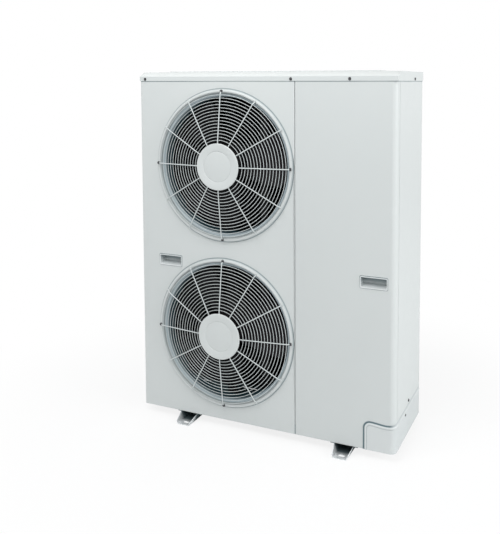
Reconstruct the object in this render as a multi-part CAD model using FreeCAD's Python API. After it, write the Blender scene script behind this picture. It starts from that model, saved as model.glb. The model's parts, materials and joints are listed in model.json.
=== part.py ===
"""Air-cooled mini chiller: a two-fan, side-discharge cabinet with a hydronic module.

Frame: millimetres, +Z up, +X to the right when facing the fans, +Y from the front to the rear.
The origin is on the floor, under the middle of the cabinet.
"""
import FreeCAD, Part
import math
import os

# Cabinet
fan_side_width = 636.0
machine_side_width = 364.0
cabinet_depth = 345.0
cabinet_height = 1250.0
foot_height = 30.0
panel_sheet = 1.2
panel_bend_radius = 7.0
seam_gap = 2.0
seam_flange = 12.0
seam_bend_radius = 2.0
left_return = 40.0
right_return = 30.0
rear_post_width = 30.0
rear_panel_lap = 12.0

# Base pan
pan_sheet = 2.0
pan_rim_height = 34.0
pan_slot_length = 60.0
pan_slot_width = 8.0
pan_slot_inset = 24.0
pan_slot_count = 3

# Top cover
cover_sheet = 1.2
cover_overlap = 12.0
cover_front_rim = 16.0
cover_side_rim = 33.0
cover_bevel_depth = 30.0
cover_bead_height = 3.0
cover_bead_width = 60.0
cover_bead_inset = 80.0

# Foot rails
left_foot_from_left = 200.0
right_foot_from_right = 180.0
foot_overhang = 46.0
foot_top_width = 72.0
foot_web_width = 48.0
foot_sheet = 2.5
foot_flange = 14.0
foot_tip_height = 12.0
anchor_slot_width = 11.0
anchor_slot_length = 24.0
anchor_from_cabinet = 24.0

# Fans and their outlets, heights above the pan's underside
fan_from_seam = 281.5
upper_fan_height = 945.0
lower_fan_height = 328.0
collar_foot_radius = 278.0
collar_outer_radius = 273.5
collar_inner_radius = 264.0
collar_mouth_radius = 259.0
collar_height = 9.0
collar_sides = 36
throat_radius = 248.0
throat_length = 50.0
throat_flare = 12.0
throat_wall = 2.0
bellmouth_plate_margin = 14.0
bellmouth_sides = 28
fan_tip_clearance = 7.0
fan_hub_radius = 58.0
fan_hub_length = 62.0
fan_hub_setback = 26.0
fan_blade_count = 3
fan_blade_thickness = 3.0
fan_root_chord = 96.0
fan_tip_chord = 236.0
fan_root_pitch = 40.0
fan_tip_pitch = 22.0
fan_blade_camber = 14.0
fan_blade_sweep = 34.0
fan_radial_steps = 2
fan_chord_steps = 4
fan_hub_sides = 16
fan_hub_chamfer = 6.0

# Fan guards
guard_wire = 3.0
guard_spoke_width = 4.0
guard_spoke_count = 12
guard_spoke_start = 16.0
guard_ring_count = 15
guard_ring_sides = 10
guard_ring_band = 5
guard_ring_added_sides = 3
guard_first_ring_radius = 95.0
guard_ring_pitch = 11.5
guard_rise_at_hub = 37.0
guard_rise_at_rim = 16.0
guard_screw_radius = 269.5
guard_foot_length = 7.0
guard_tab_width = 14.0
guard_tab_sheet = 1.5
guard_slot_clearance = 0.6
guard_cap_radius = 84.0
guard_cap_thickness = 5.0
guard_cap_sides = 32

# Fan motors and the mast that carries them
motor_radius = 50.0
motor_length = 84.0
motor_bore_depth = 52.0
motor_gap = 8.0
motor_sides = 12
motor_chamfer = 6.0
shaft_radius = 6.0
shaft_clearance = 0.05
shaft_stub = 12.0
mast_sheet = 2.0
mast_rail_width = 30.0
mast_rail_depth = 24.0
mast_rail_spacing = 150.0
mast_plate_height = 130.0

# Condenser coil and the wire meshes over it
coil_thickness = 44.0
coil_wall_gap = 9.0
coil_top_gap = 3.0
coil_bend_radius = 84.0
coil_front_gap = 12.0
coil_groove_pitch = 30.0
coil_groove_width = 15.0
coil_groove_depth = 7.0
tube_sheet_thickness = 2.0
tube_sheet_lip = 4.0
return_bend_count = 6
return_bend_sides = 4
return_bend_radius = 4.8
return_bend_reach = 20.0
return_bend_height = 25.0
return_bend_inset = 14.0
mesh_wire = 3.0
mesh_column_pitch = 60.0
mesh_row_pitch = 120.0
header_radius = 9.0
header_reach = 42.0
header_inset = 14.0
header_boss = 8.0
header_tube_radius = 4.0
header_tube_count = 3
liquid_header_height = 80.0
header_gap = 30.0
header_lift = 50.0

# Partition between the fan side and the machine side
partition_offset = 4.0

# Hand grips
left_grip_from_fan = 228.5
right_grip_from_right = 77.0
grip_height = 577.0
grip_frame_width = 100.0
grip_frame_height = 44.0
grip_frame_thickness = 2.0
grip_pocket_width = 90.0
grip_pocket_height = 33.0
grip_pocket_depth = 28.0
grip_floor_rise = 9.0
grip_wall = 2.0
grip_clearance = 0.3

# Pipe cover at the bottom right corner
pipe_cover_from_right = 113.0
pipe_cover_wall = 2.5
pipe_cover_crest = 102.0
pipe_cover_dip = 98.0
pipe_cover_dip_from_right = 28.0
pipe_cover_rear_height = 105.0
pipe_cover_corner_radius = 27.0
pipe_cover_rear_gap = 16.0
pipe_cover_lap = 10.0
pipe_cover_bead_width = 7.0
pipe_cover_bead_height = 1.8

# Compressor and its accumulator
compressor_from_partition = 98.8
compressor_from_rear = 116.0
compressor_radius = 64.0
compressor_height = 300.0
compressor_chamfer = 12.0
compressor_dome = 26.0
compressor_foot_radius = 92.0
compressor_foot_sheet = 4.0
compressor_sides = 16
terminal_cap_width = 40.0
terminal_cap_height = 60.0
terminal_cap_depth = 22.0
rubber_radius = 13.0
rubber_height = 14.0
rubber_sides = 8
accumulator_radius = 36.0
accumulator_height = 210.0
accumulator_gap = 8.0
accumulator_lift = 60.0
accumulator_cone = 22.0
accumulator_strap = 30.0

# Plate heat exchanger and its stand
exchanger_from_right = 85.0
exchanger_width = 111.0
exchanger_thickness = 58.0
exchanger_height = 320.0
exchanger_lift = 170.0
exchanger_rear_gap = 20.0
exchanger_port_inset = 30.0
exchanger_port_length = 14.0
exchanger_end_plate = 6.0
exchanger_end_lip = 3.0
stand_sheet = 2.0

# Water circuit
water_pipe_radius = 14.0
water_bore_radius = 11.5
water_bore_depth = 30.0
water_pipe_sides = 12
water_thread_radius = 16.6
water_thread_length = 20.0
water_stub_reach = 36.0
water_return_lift = 78.0
water_hole_clearance = 4.0
water_hole_sides = 12
pump_from_front = 152.0
pump_lift = 190.0
pump_radius = 42.0
pump_depth = 44.0
pump_wall = 4.0
pump_port_reach = 64.0
pump_sides = 14
pump_motor_size = 78.0
pump_motor_length = 86.0
pump_motor_chamfer = 14.0
pump_bore_depth = 52.0
impeller_radius = 31.0
impeller_sheet = 3.0
impeller_gap = 5.0
impeller_blade_height = 12.0
impeller_blade_sheet = 2.5
impeller_hub_radius = 10.0
impeller_blade_count = 4
pump_shaft_radius = 5.0
riser_overrun = 30.0

# Valves and fittings of the water circuit
drain_body_radius = 17.0
drain_body_length = 40.0
drain_body_gap = 30.0
drain_outlet_radius = 10.0
drain_outlet_length = 16.0
stem_radius = 4.0
stem_depth = 10.0
lever_length = 46.0
lever_width = 12.0
lever_thickness = 3.0
lever_lift = 8.0
boss_radius = 8.0
boss_length = 6.0
vent_radius = 13.0
vent_height = 42.0

# Expansion vessel
vessel_header_gap = 12.0
vessel_width = 230.0
vessel_height = 300.0
vessel_depth = 92.0
vessel_corner = 30.0
vessel_lift = 640.0
vessel_strap_thickness = 4.0
vessel_strap_height = 30.0
hose_radius = 6.0
hose_lift = 475.0
hose_height = 95.0
hose_run = 49.5
hose_bend = 18.0

# Control box
control_width = 300.0
control_height = 280.0
control_depth = 96.0
control_sheet = 1.5
control_front_gap = 22.0
control_top_gap = 40.0
terminal_width = 140.0
terminal_height = 34.0
terminal_depth = 26.0
terminal_inset = 20.0
terminal_count = 5
terminal_groove = 2.0

# Refrigerant pipes
discharge_radius = 6.4
discharge_rise = 80.0
suction_radius = 8.0
suction_setback = 44.0
suction_rise = 55.0
liquid_radius = 4.8
liquid_lift = 90.0
liquid_from_front = 28.0
liquid_wall_gap = 14.0
pipe_sides = 8
pipe_bend = 14.0
liquid_bend = 10.0
drier_radius = 20.0
drier_length = 96.0
expansion_valve_radius = 13.0
expansion_valve_length = 44.0

# Mains cable gland
gland_from_right = 220.0
gland_lift = 330.0
gland_across_flats = 26.0
gland_flange = 8.0
gland_reach = 24.0
gland_dome_radius = 11.5
gland_thread_radius = 10.0
gland_thread_length = 12.0
gland_bore_radius = 6.5
gland_hole_clearance = 0.6

# Self-tapping screws
screw_across_flats = 8.0
screw_head_height = 3.0
screw_shank_across = 3.6
screw_shank_length = 9.0
screw_shank_sides = 4
screw_hole_clearance = 0.1
cover_screw_rise = 7.0
cover_screws_from_left = (23.0, 621.7, 835.8)
side_screw_from_front = 221.0
pipe_cover_screw_from_front = 128.0
pipe_cover_screw_height = 81.0
pipe_cover_screw_recess = 7.0
side_panel_screw_from_front = 178.0
side_panel_screw_height = 113.0

# Planes and axes that follow from the sizes
cabinet_width = fan_side_width + machine_side_width
left = -cabinet_width / 2
right = cabinet_width / 2
front = -cabinet_depth / 2
rear = cabinet_depth / 2
pan_bottom = foot_height
pan_top = pan_bottom + pan_sheet
rim_top = pan_bottom + pan_rim_height
roof = pan_bottom + cabinet_height
cover_top = roof + cover_side_rim
panel_top = roof + cover_overlap
panel_back = front + panel_sheet
seam_x = left + fan_side_width
fan_x = seam_x - fan_from_seam
left_grip_x = fan_x - left_grip_from_fan
right_grip_x = right - right_grip_from_right
pipe_cover_x = right - pipe_cover_from_right
fan_heights = {"upper": pan_bottom + upper_fan_height, "lower": pan_bottom + lower_fan_height}
collar_crest = front - collar_height
guard_rim = guard_first_ring_radius + guard_ring_pitch * (guard_ring_count - 1) + 1.8 * guard_wire
fan_radius = throat_radius - fan_tip_clearance
hub_front = front + fan_hub_setback
hub_rear = hub_front + fan_hub_length
hub_middle = (hub_front + hub_rear) / 2
motor_front = hub_rear + motor_gap
motor_rear = motor_front + motor_length
mast_front = motor_rear + mast_sheet
partition_x = seam_x + partition_offset
partition_face = partition_x + panel_sheet
coil_rear = rear - coil_wall_gap
coil_inner = coil_rear - coil_thickness
coil_left = left + coil_wall_gap
coil_front = front + left_return + coil_front_gap
coil_top = roof - coil_top_gap
tube_sheet_face = partition_x + tube_sheet_thickness
header_x = tube_sheet_face + header_reach
header_y = coil_rear - header_inset
rear_panel_edge = partition_x - rear_panel_lap
panel_notch_z = pan_bottom + pipe_cover_dip - pipe_cover_lap
machine_rear = rear - panel_sheet
compressor_x = partition_face + compressor_from_partition
compressor_y = rear - compressor_from_rear
compressor_base = pan_top + rubber_height + compressor_foot_sheet
compressor_top = compressor_base + compressor_height
accumulator_y = compressor_y - compressor_radius - accumulator_gap - accumulator_radius
accumulator_top = pan_top + accumulator_lift + accumulator_height
exchanger_x = right - exchanger_from_right
exchanger_rear = machine_rear - exchanger_rear_gap
exchanger_front = exchanger_rear - exchanger_thickness
exchanger_base = pan_bottom + exchanger_lift
exchanger_low_port = exchanger_base + exchanger_port_inset
exchanger_high_port = exchanger_base + exchanger_height - exchanger_port_inset
port_offset = exchanger_width / 2 - exchanger_port_inset
water_x = exchanger_x - port_offset
refrigerant_x = exchanger_x + port_offset
port_face = exchanger_front - exchanger_port_length
water_return_z = pan_bottom + water_return_lift
pump_y = front + pump_from_front
pump_z = pan_bottom + pump_lift
pump_front = pump_y - pump_depth / 2
drain_rear = pump_y - drain_body_gap
drain_front = drain_rear - drain_body_length
drain_y = (drain_rear + drain_front) / 2
riser_top = exchanger_high_port + riser_overrun
hose_x = water_x - water_pipe_radius - boss_length
hose_z = pan_bottom + hose_lift
vessel_x = header_x + header_radius + vessel_header_gap + vessel_width / 2
vessel_rear = machine_rear - vessel_strap_thickness
vessel_base = pan_bottom + vessel_lift
control_top = roof - control_top_gap
control_front = front + control_front_gap
control_back = control_front + control_depth
liquid_y = front + liquid_from_front
liquid_z = pan_bottom + liquid_lift
header_bottom = pan_bottom + header_lift
header_socket_y = header_y - header_radius - header_boss
drier_x = partition_face + liquid_wall_gap + 3 * pipe_bend
valve_x = drier_x + drier_length
gland_x = right - gland_from_right
gland_z = pan_bottom + gland_lift

FRONT = FreeCAD.Vector(0, -1, 0)
BACK = FreeCAD.Vector(0, 1, 0)
RIGHT = FreeCAD.Vector(1, 0, 0)
LEFT = FreeCAD.Vector(-1, 0, 0)
UP = FreeCAD.Vector(0, 0, 1)
DOWN = FreeCAD.Vector(0, 0, -1)


def point(x, y, z):
    return FreeCAD.Vector(x, y, z)


def box(x0, x1, y0, y1, z0, z1):
    return Part.makeBox(x1 - x0, y1 - y0, z1 - z0, point(x0, y0, z0))


def rod(radius, start, end):
    axis = end - start
    return Part.makeCylinder(radius, axis.Length, start, axis)


def prism(corners, direction):
    """Extrude the closed polygon through corners along direction."""
    outline = Part.makePolygon(corners + [corners[0]])
    return Part.Face(outline).extrude(direction)


def sides_of(radius, sides, centre, direction):
    """Corners of a regular polygon across direction, its flats tangent to a circle of radius."""
    across = UP if abs(direction.z) < 0.5 else RIGHT
    other = direction.cross(across)
    corners = []
    for i in range(sides):
        angle = 2 * math.pi * (i + 0.5) / sides
        reach = radius / math.cos(math.pi / sides)
        corners.append(centre + across * (reach * math.cos(angle)) + other * (reach * math.sin(angle)))
    return corners


def solid_of(faces):
    """A solid from the corner lists of its flat faces."""
    return Part.makeSolid(Part.makeShell([Part.Face(Part.makePolygon(c + [c[0]])) for c in faces]))


def faceted(profile, base, direction, sides):
    """A many-sided body along direction, from (radius, distance) pairs: a round part drawn in flats."""
    rings = [sides_of(radius, sides, base + direction * distance, direction) for radius, distance in profile]
    faces = [rings[0][::-1], rings[-1]]
    for near, far in zip(rings, rings[1:]):
        for i in range(sides):
            j = (i + 1) % sides
            faces.append([near[i], near[j], far[j], far[i]])
    return solid_of(faces)


def folded_sheet(path, sheet, radii, z0, z1):
    """A bent sheet. path is its outer outline in plan, and the sheet lies to the left of the path."""
    inner = inset_path(path, sheet)
    solid = prism([point(x, y, z0) for x, y in path + inner[::-1]], UP * (z1 - z0))
    for outer_corner, inner_corner, radius in zip(path[1:-1], inner[1:-1], radii):
        solid = solid.makeFillet(radius, upright_edges(solid, outer_corner))
        if radius > sheet:
            solid = solid.makeFillet(radius - sheet, upright_edges(solid, inner_corner))
    return solid


def inset_path(path, distance):
    """The open path moved to its left by distance, for runs along X and Y."""
    moved = []
    for i, corner in enumerate(path):
        shifts = []
        for start, end in zip(path[max(i - 1, 0):i + 1], path[max(i, 1):i + 2]):
            run = math.hypot(end[0] - start[0], end[1] - start[1])
            shifts.append((-(end[1] - start[1]) / run, (end[0] - start[0]) / run))
        across = max((s[0] for s in shifts), key=abs)
        along = max((s[1] for s in shifts), key=abs)
        moved.append((corner[0] + across * distance, corner[1] + along * distance))
    return moved


def upright_edges(solid, corner):
    """The vertical edges of solid that stand on a plan corner."""
    found = []
    for edge in solid.Edges:
        ends = [vertex.Point for vertex in edge.Vertexes]
        if len(ends) == 2 and all(math.hypot(p.x - corner[0], p.y - corner[1]) < 0.01 for p in ends):
            found.append(edge)
    return found


def pipe(radius, start, end):
    """A straight pipe drawn in flats."""
    run = end - start
    return faceted([(radius, 0), (radius, run.Length)], start, run.normalize(), water_pipe_sides)


def bent_pipe(corners, radius, bend, sides):
    """A many-sided pipe along corners. Each turn is two mitres, bend away from its corner."""
    path = [corners[0]]
    for before, corner, after in zip(corners, corners[1:], corners[2:]):
        path.append(corner + (before - corner).normalize() * bend)
        path.append(corner + (after - corner).normalize() * bend)
    path.append(corners[-1])
    start = (path[1] - path[0]).normalize()
    outline = sides_of(radius, sides, path[0], start)
    section = Part.makePolygon(outline + [outline[0]])
    return Part.makePolygon(path).makePipeShell([section], True, False, 1)


def group(solids):
    return Part.makeCompound(solids)


def screw(seat, outward):
    """A self-tapping screw: its head sits on seat and its shank runs inwards."""
    head = prism(sides_of(screw_across_flats / 2, 6, seat, outward), outward * screw_head_height)
    shank = prism(sides_of(screw_shank_across / 2, screw_shank_sides, seat, outward),
                  outward * -screw_shank_length)
    return head.fuse(shank).removeSplitter()


def drilled(shape, places):
    """The shape with a hole for each screw that goes through it."""
    for seat, outward in places:
        outline = sides_of(screw_shank_across / 2 + screw_hole_clearance, screw_shank_sides,
                           seat + outward, outward)
        shape = shape.cut(prism(outline, outward * -(screw_shank_length + 2)))
    return shape.removeSplitter()


def guard_screw_places():
    """Four screws round each guard, through the slotted tabs into the collar."""
    places = []
    for z in fan_heights.values():
        for quarter in range(4):
            angle = math.pi / 2 * quarter
            seat = point(fan_x + guard_screw_radius * math.cos(angle), collar_crest - guard_tab_sheet,
                         z + guard_screw_radius * math.sin(angle))
            places.append((seat, FRONT))
    return places


def case_screw_places():
    """Screws through the top cover's rim, the pipe cover and the side panel."""
    z = roof + cover_screw_rise
    places = [(point(left + x, front - cover_sheet, z), FRONT) for x in cover_screws_from_left]
    places.append((point(right + cover_sheet, front + side_screw_from_front, z), RIGHT))
    places.append((point(left - cover_sheet, front + left_return / 2, z), LEFT))
    places.append((point(left + rear_post_width / 2, rear + cover_sheet, z), BACK))
    places.append((point(exchanger_x, rear + cover_sheet, z), BACK))
    places.append((point(right + cover_sheet, front + pipe_cover_screw_from_front,
                         pan_bottom + pipe_cover_screw_height), RIGHT))
    places.append((point(right, front + side_panel_screw_from_front,
                         pan_bottom + side_panel_screw_height), RIGHT))
    return places


def cut_corner_block(x0, x1, y0, y1, z0, z1, cut):
    """A block whose upright edges are cut off."""
    outline = [(x0, y0 + cut), (x0, y1 - cut), (x0 + cut, y1), (x1 - cut, y1),
               (x1, y1 - cut), (x1, y0 + cut), (x1 - cut, y0), (x0 + cut, y0)]
    return prism([point(x, y, z0) for x, y in outline], UP * (z1 - z0))


def base_pan():
    """The tray that everything stands on, with drain slots in front of the coil."""
    x0 = left + panel_sheet
    x1 = right - panel_sheet
    tray = cut_corner_block(x0, x1, panel_back, machine_rear, pan_bottom, rim_top, panel_bend_radius)
    tray = tray.cut(cut_corner_block(x0 + pan_sheet, x1 - pan_sheet, panel_back + pan_sheet,
                                     machine_rear - pan_sheet, pan_top, rim_top + 1, panel_bend_radius))
    slot_y = coil_inner - pan_slot_inset
    span = (partition_x - left) / pan_slot_count
    for i in range(pan_slot_count):
        slot_x = left + span * (i + 0.5)
        tray = tray.cut(box(slot_x - pan_slot_length / 2, slot_x + pan_slot_length / 2,
                            slot_y - pan_slot_width / 2, slot_y + pan_slot_width / 2,
                            pan_bottom - 1, pan_top + 1))
    return tray


def foot_rail(x):
    """An open channel under the pan. Its walls are cut down towards both tips, which hold anchor slots."""
    tip = rear + foot_overhang
    half_web = foot_web_width / 2
    half_top = foot_top_width / 2
    lean = (half_top - half_web) / foot_height
    wall = foot_sheet * math.hypot(1, lean)
    inner_web = half_web - wall + lean * foot_sheet
    section = [(-half_top, foot_height), (-half_web, 0), (half_web, 0), (half_top, foot_height),
               (half_top - wall, foot_height), (inner_web, foot_sheet), (-inner_web, foot_sheet),
               (wall - half_top, foot_height)]
    rail = prism([point(x + u, -tip, z) for u, z in section], BACK * (2 * tip))
    for side in (-1, 1):
        edges = sorted((x + side * (half_top - wall / 2), x + side * (half_top + foot_flange)))
        rail = rail.fuse(box(edges[0], edges[1], front, rear, foot_height - foot_sheet, foot_height))
    for side in (-1, 1):
        taper = [(rear, foot_height), (tip, foot_tip_height), (tip + 1, foot_tip_height),
                 (tip + 1, foot_height + 1), (rear, foot_height + 1)]
        corners = [point(x - foot_top_width, side * y, z) for y, z in taper]
        rail = rail.cut(prism(corners, RIGHT * (2 * foot_top_width)))
        rail = rail.cut(anchor_slot(x, side * (rear + anchor_from_cabinet)))
    return rail.removeSplitter()


def anchor_slot(x, y):
    radius = anchor_slot_width / 2
    reach = anchor_slot_length / 2 - radius
    slot = box(x - reach, x + reach, y - radius, y + radius, -1, foot_sheet + 1)
    for end in (x - reach, x + reach):
        slot = slot.fuse(rod(radius, point(end, y, -1), point(end, y, foot_sheet + 1)))
    return slot


def collar(z):
    """The pressed ring round an outlet, raised in front of the panel."""
    base = point(fan_x, panel_back, z)
    ring = faceted([(collar_foot_radius, 0), (collar_foot_radius, panel_sheet),
                    (collar_outer_radius, panel_sheet + collar_height)], base, FRONT, collar_sides)
    mouth = faceted([(collar_mouth_radius, -1), (collar_mouth_radius, panel_sheet),
                     (collar_inner_radius, panel_sheet + collar_height),
                     (collar_inner_radius, panel_sheet + collar_height + 1)], base, FRONT, collar_sides)
    return ring.cut(mouth)


def fan_panel():
    """The sheet in front of the fans, with a pressed collar round each outlet."""
    edge = seam_x - seam_gap / 2
    path = [(left, front + left_return), (left, front), (edge, front), (edge, front + seam_flange)]
    sheet = folded_sheet(path, panel_sheet, (panel_bend_radius, seam_bend_radius), pan_bottom, panel_top)
    sheet = sheet.cut(box(edge - seam_flange, edge + 1, panel_back, front + seam_flange + 1,
                          pan_bottom - 1, rim_top))
    for z in fan_heights.values():
        opening = faceted([(collar_foot_radius, -1), (collar_foot_radius, panel_sheet + 1)],
                          point(fan_x, panel_back, z), FRONT, collar_sides)
        sheet = sheet.cut(opening).fuse(collar(z))
    sheet = sheet.cut(grip_cutout(left_grip_x))
    return drilled(sheet, guard_screw_places() + case_screw_places())


def service_panel():
    """The plain sheet right of the seam, folded round the corner and notched for the pipe cover."""
    edge = seam_x + seam_gap / 2
    path = [(edge, front + seam_flange), (edge, front), (right, front), (right, front + right_return)]
    sheet = folded_sheet(path, panel_sheet, (seam_bend_radius, panel_bend_radius), pan_bottom, panel_top)
    notch = box(pipe_cover_x + pipe_cover_lap, right + 1, front - 1, front + right_return + 1,
                pan_bottom - 1, panel_notch_z)
    flange = box(edge - 1, edge + seam_flange, panel_back, front + seam_flange + 1, pan_bottom - 1, rim_top)
    return drilled(sheet.cut(notch).cut(flange).cut(grip_cutout(right_grip_x)), case_screw_places())


def side_panel():
    """The right side and the machine side of the rear, with holes for the water pipes and the cable."""
    path = [(right, front + right_return + seam_gap), (right, rear), (rear_panel_edge, rear)]
    sheet = folded_sheet(path, panel_sheet, (panel_bend_radius,), pan_bottom, panel_top)
    notch = box(right - panel_bend_radius, right + 1, front, rear - pipe_cover_rear_gap - pipe_cover_lap,
                pan_bottom - 1, panel_notch_z)
    sheet = sheet.cut(notch)
    holes = [(water_x, water_return_z, water_thread_radius + water_hole_clearance),
             (water_x, exchanger_low_port, water_thread_radius + water_hole_clearance),
             (gland_x, gland_z, gland_thread_radius + gland_hole_clearance)]
    for x, z, radius in holes:
        sheet = sheet.cut(faceted([(radius, -1), (radius, panel_sheet + 1)], point(x, machine_rear, z),
                                  BACK, water_hole_sides))
    return drilled(sheet, case_screw_places())


def rear_post():
    path = [(left + rear_post_width, rear), (left, rear), (left, rear - rear_post_width)]
    post = folded_sheet(path, panel_sheet, (panel_bend_radius,), pan_bottom, panel_top)
    return drilled(post, case_screw_places())


def top_cover():
    """A shallow lid with a bevel behind its low front rim, and two pressed beads."""
    def profile(x, inset, bottom):
        slope = (cover_side_rim - cover_front_rim) / cover_bevel_depth
        drop = inset * (math.hypot(1, slope) - slope)
        rise = cover_side_rim - inset
        bevel_end = front - cover_sheet + cover_bevel_depth + inset * (math.hypot(1, slope) - 1) / slope
        y0 = front - cover_sheet + inset
        y1 = rear + cover_sheet - inset
        return [point(x, y0, bottom), point(x, y0, roof + cover_front_rim - drop),
                point(x, bevel_end, roof + rise), point(x, y1, roof + rise), point(x, y1, bottom)]

    shell = prism(profile(left - cover_sheet, 0, roof), RIGHT * (cabinet_width + 2 * cover_sheet))
    shell = shell.cut(prism(profile(left, cover_sheet, roof - 1), RIGHT * cabinet_width))
    for y in (-cover_bead_width, cover_bead_width):
        shell = shell.fuse(cover_bead(y, 0, cover_top - cover_sheet, cover_top + cover_bead_height))
        shell = shell.cut(cover_bead(y, cover_sheet, cover_top - 2 * cover_sheet,
                                     cover_top + cover_bead_height - cover_sheet))
    return drilled(shell, case_screw_places())


def cover_bead(y, inset, z0, z1):
    half = cover_bead_width / 2 - inset
    end = cover_bead_inset + inset
    return box(left + end, right - end, y - half, y + half, z0, z1)


def grip_cutout(x):
    z = pan_bottom + grip_height
    half_width = grip_pocket_width / 2 + grip_wall + grip_clearance
    half_height = grip_pocket_height / 2 + grip_wall + grip_clearance
    return box(x - half_width, x + half_width, front - 1, panel_back + 1, z - half_height, z + half_height)


def grip_cup(x):
    """A moulded finger pocket: a frame on the panel, and a tub behind it whose floor rises to the back."""
    z = pan_bottom + grip_height
    half_width = grip_pocket_width / 2
    half_height = grip_pocket_height / 2
    bottom = front + grip_pocket_depth
    frame = box(x - grip_frame_width / 2, x + grip_frame_width / 2, front - grip_frame_thickness, front,
                z - grip_frame_height / 2, z + grip_frame_height / 2)
    tub = box(x - half_width - grip_wall, x + half_width + grip_wall, front, bottom + grip_wall,
              z - half_height - grip_wall, z + half_height + grip_wall)
    mouth = front - grip_frame_thickness - 1
    low = z - half_height
    high = z + half_height
    outline = [(mouth, low), (mouth, high), (bottom, high), (bottom, low + grip_floor_rise), (front, low)]
    pocket = prism([point(x - half_width, y, height) for y, height in outline], RIGHT * grip_pocket_width)
    return frame.fuse(tub).cut(pocket).removeSplitter()


def pipe_cover():
    """The corner cover over the pipes: its top edge swings up on the front and runs back along the side."""
    x0 = pipe_cover_x
    outer_x = right + pipe_cover_wall
    outer_y = front - pipe_cover_wall
    crest = pan_bottom + pipe_cover_crest
    dip = pan_bottom + pipe_cover_dip
    radius = pipe_cover_corner_radius
    end_y = rear - pipe_cover_rear_gap

    def front_face(y):
        shoulder = point(x0, y, crest - radius)
        knee = point(x0 + radius * (1 - math.sqrt(0.5)), y, crest - radius * (1 - math.sqrt(0.5)))
        top = point(x0 + radius, y, crest)
        wave = Part.BSplineCurve()
        lowest = point(right - pipe_cover_dip_from_right, y, dip)
        wave.interpolate(Points=[top, lowest, point(outer_x, y, dip)],
                         InitialTangent=RIGHT, FinalTangent=RIGHT)
        edges = [Part.LineSegment(point(x0, y, pan_bottom), shoulder).toShape(),
                 Part.Arc(shoulder, knee, top).toShape(), wave.toShape(),
                 Part.LineSegment(point(outer_x, y, dip), point(outer_x, y, pan_bottom)).toShape(),
                 Part.LineSegment(point(outer_x, y, pan_bottom), point(x0, y, pan_bottom)).toShape()]
        return Part.Face(Part.Wire(edges))

    def side_face(x):
        return [point(x, outer_y, pan_bottom), point(x, outer_y, dip),
                point(x, end_y, pan_bottom + pipe_cover_rear_height), point(x, end_y, pan_bottom)]

    cover = front_face(outer_y).extrude(BACK * pipe_cover_wall)
    cover = cover.fuse(prism(side_face(right), RIGHT * pipe_cover_wall)).removeSplitter()
    cover = cover.makeFillet(panel_bend_radius, upright_edges(cover, (outer_x, outer_y)))
    width = pipe_cover_bead_width
    height = pipe_cover_bead_height
    strip = front_face(outer_y - height).extrude(BACK * height)
    inside = front_face(outer_y - height - 1).extrude(BACK * (height + 2))
    strip = strip.cut(inside.translated(point(width, 0, -width)))
    strip = strip.cut(box(outer_x - panel_bend_radius, outer_x + 1, outer_y - height - 1, outer_y + 1,
                          pan_bottom - 1, crest + 1))
    rail = prism(side_face(outer_x), RIGHT * height)
    rail = rail.cut(prism(side_face(outer_x - 1), RIGHT * (height + 2)).translated(DOWN * width))
    rail = rail.cut(box(outer_x - 1, outer_x + height + 1, outer_y - 1, outer_y + panel_bend_radius,
                        pan_bottom - width - 1, crest + 10))
    seat = point(right + cover_sheet, front + pipe_cover_screw_from_front,
                 pan_bottom + pipe_cover_screw_height)
    recess = prism(sides_of(pipe_cover_screw_recess, 12, seat, RIGHT), RIGHT * (pipe_cover_wall + 1))
    return drilled(cover.fuse(strip).fuse(rail).cut(recess), case_screw_places())


def bellmouth(z):
    """The ring behind the panel that leads air to the fan: an eight-sided plate with a flared throat."""
    base = point(fan_x, panel_back, z)
    mouth = collar_mouth_radius
    throat = throat_radius
    wall = throat_wall
    reach = mouth + bellmouth_plate_margin
    plate = faceted([(reach, 0), (reach, wall)], base, BACK, 8)
    outside = faceted([(mouth + wall, 0), (mouth + wall, wall), (throat + wall, throat_flare + wall),
                       (throat + wall, throat_length)], base, BACK, bellmouth_sides)
    inside = faceted([(mouth, -1), (mouth, 0), (throat, throat_flare), (throat, throat_length + 1)],
                     base, BACK, bellmouth_sides)
    return plate.fuse(outside).cut(inside).removeSplitter()


def guard_rise(radius):
    """How far the back of the guard's spokes stands in front of the panel at radius."""
    flat_radius = guard_first_ring_radius - guard_wire
    share = max(0.0, (radius - flat_radius) / (guard_rim - flat_radius))
    return guard_rise_at_hub + (guard_rise_at_rim - guard_rise_at_hub) * share


def guard_ring(number, z):
    """One welded wire ring, drawn in flats of three-cornered section, with its flat side to the spokes."""
    radius = guard_first_ring_radius + guard_ring_pitch * number
    sides = guard_ring_sides + guard_ring_added_sides * (number // guard_ring_band)
    half = guard_wire / 2
    face = front - guard_rise((radius + half) / math.cos(math.pi / sides))
    rings = []
    for reach, y in ((radius - half, face), (radius + half, face), (radius, face + guard_wire)):
        rings.append(sides_of(reach, sides, point(fan_x, y, z), BACK))
    faces = []
    for near, far in zip(rings, rings[1:] + rings[:1]):
        for i in range(sides):
            j = (i + 1) % sides
            faces.append([near[i], near[j], far[j], far[i]])
    return solid_of(faces)


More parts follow.
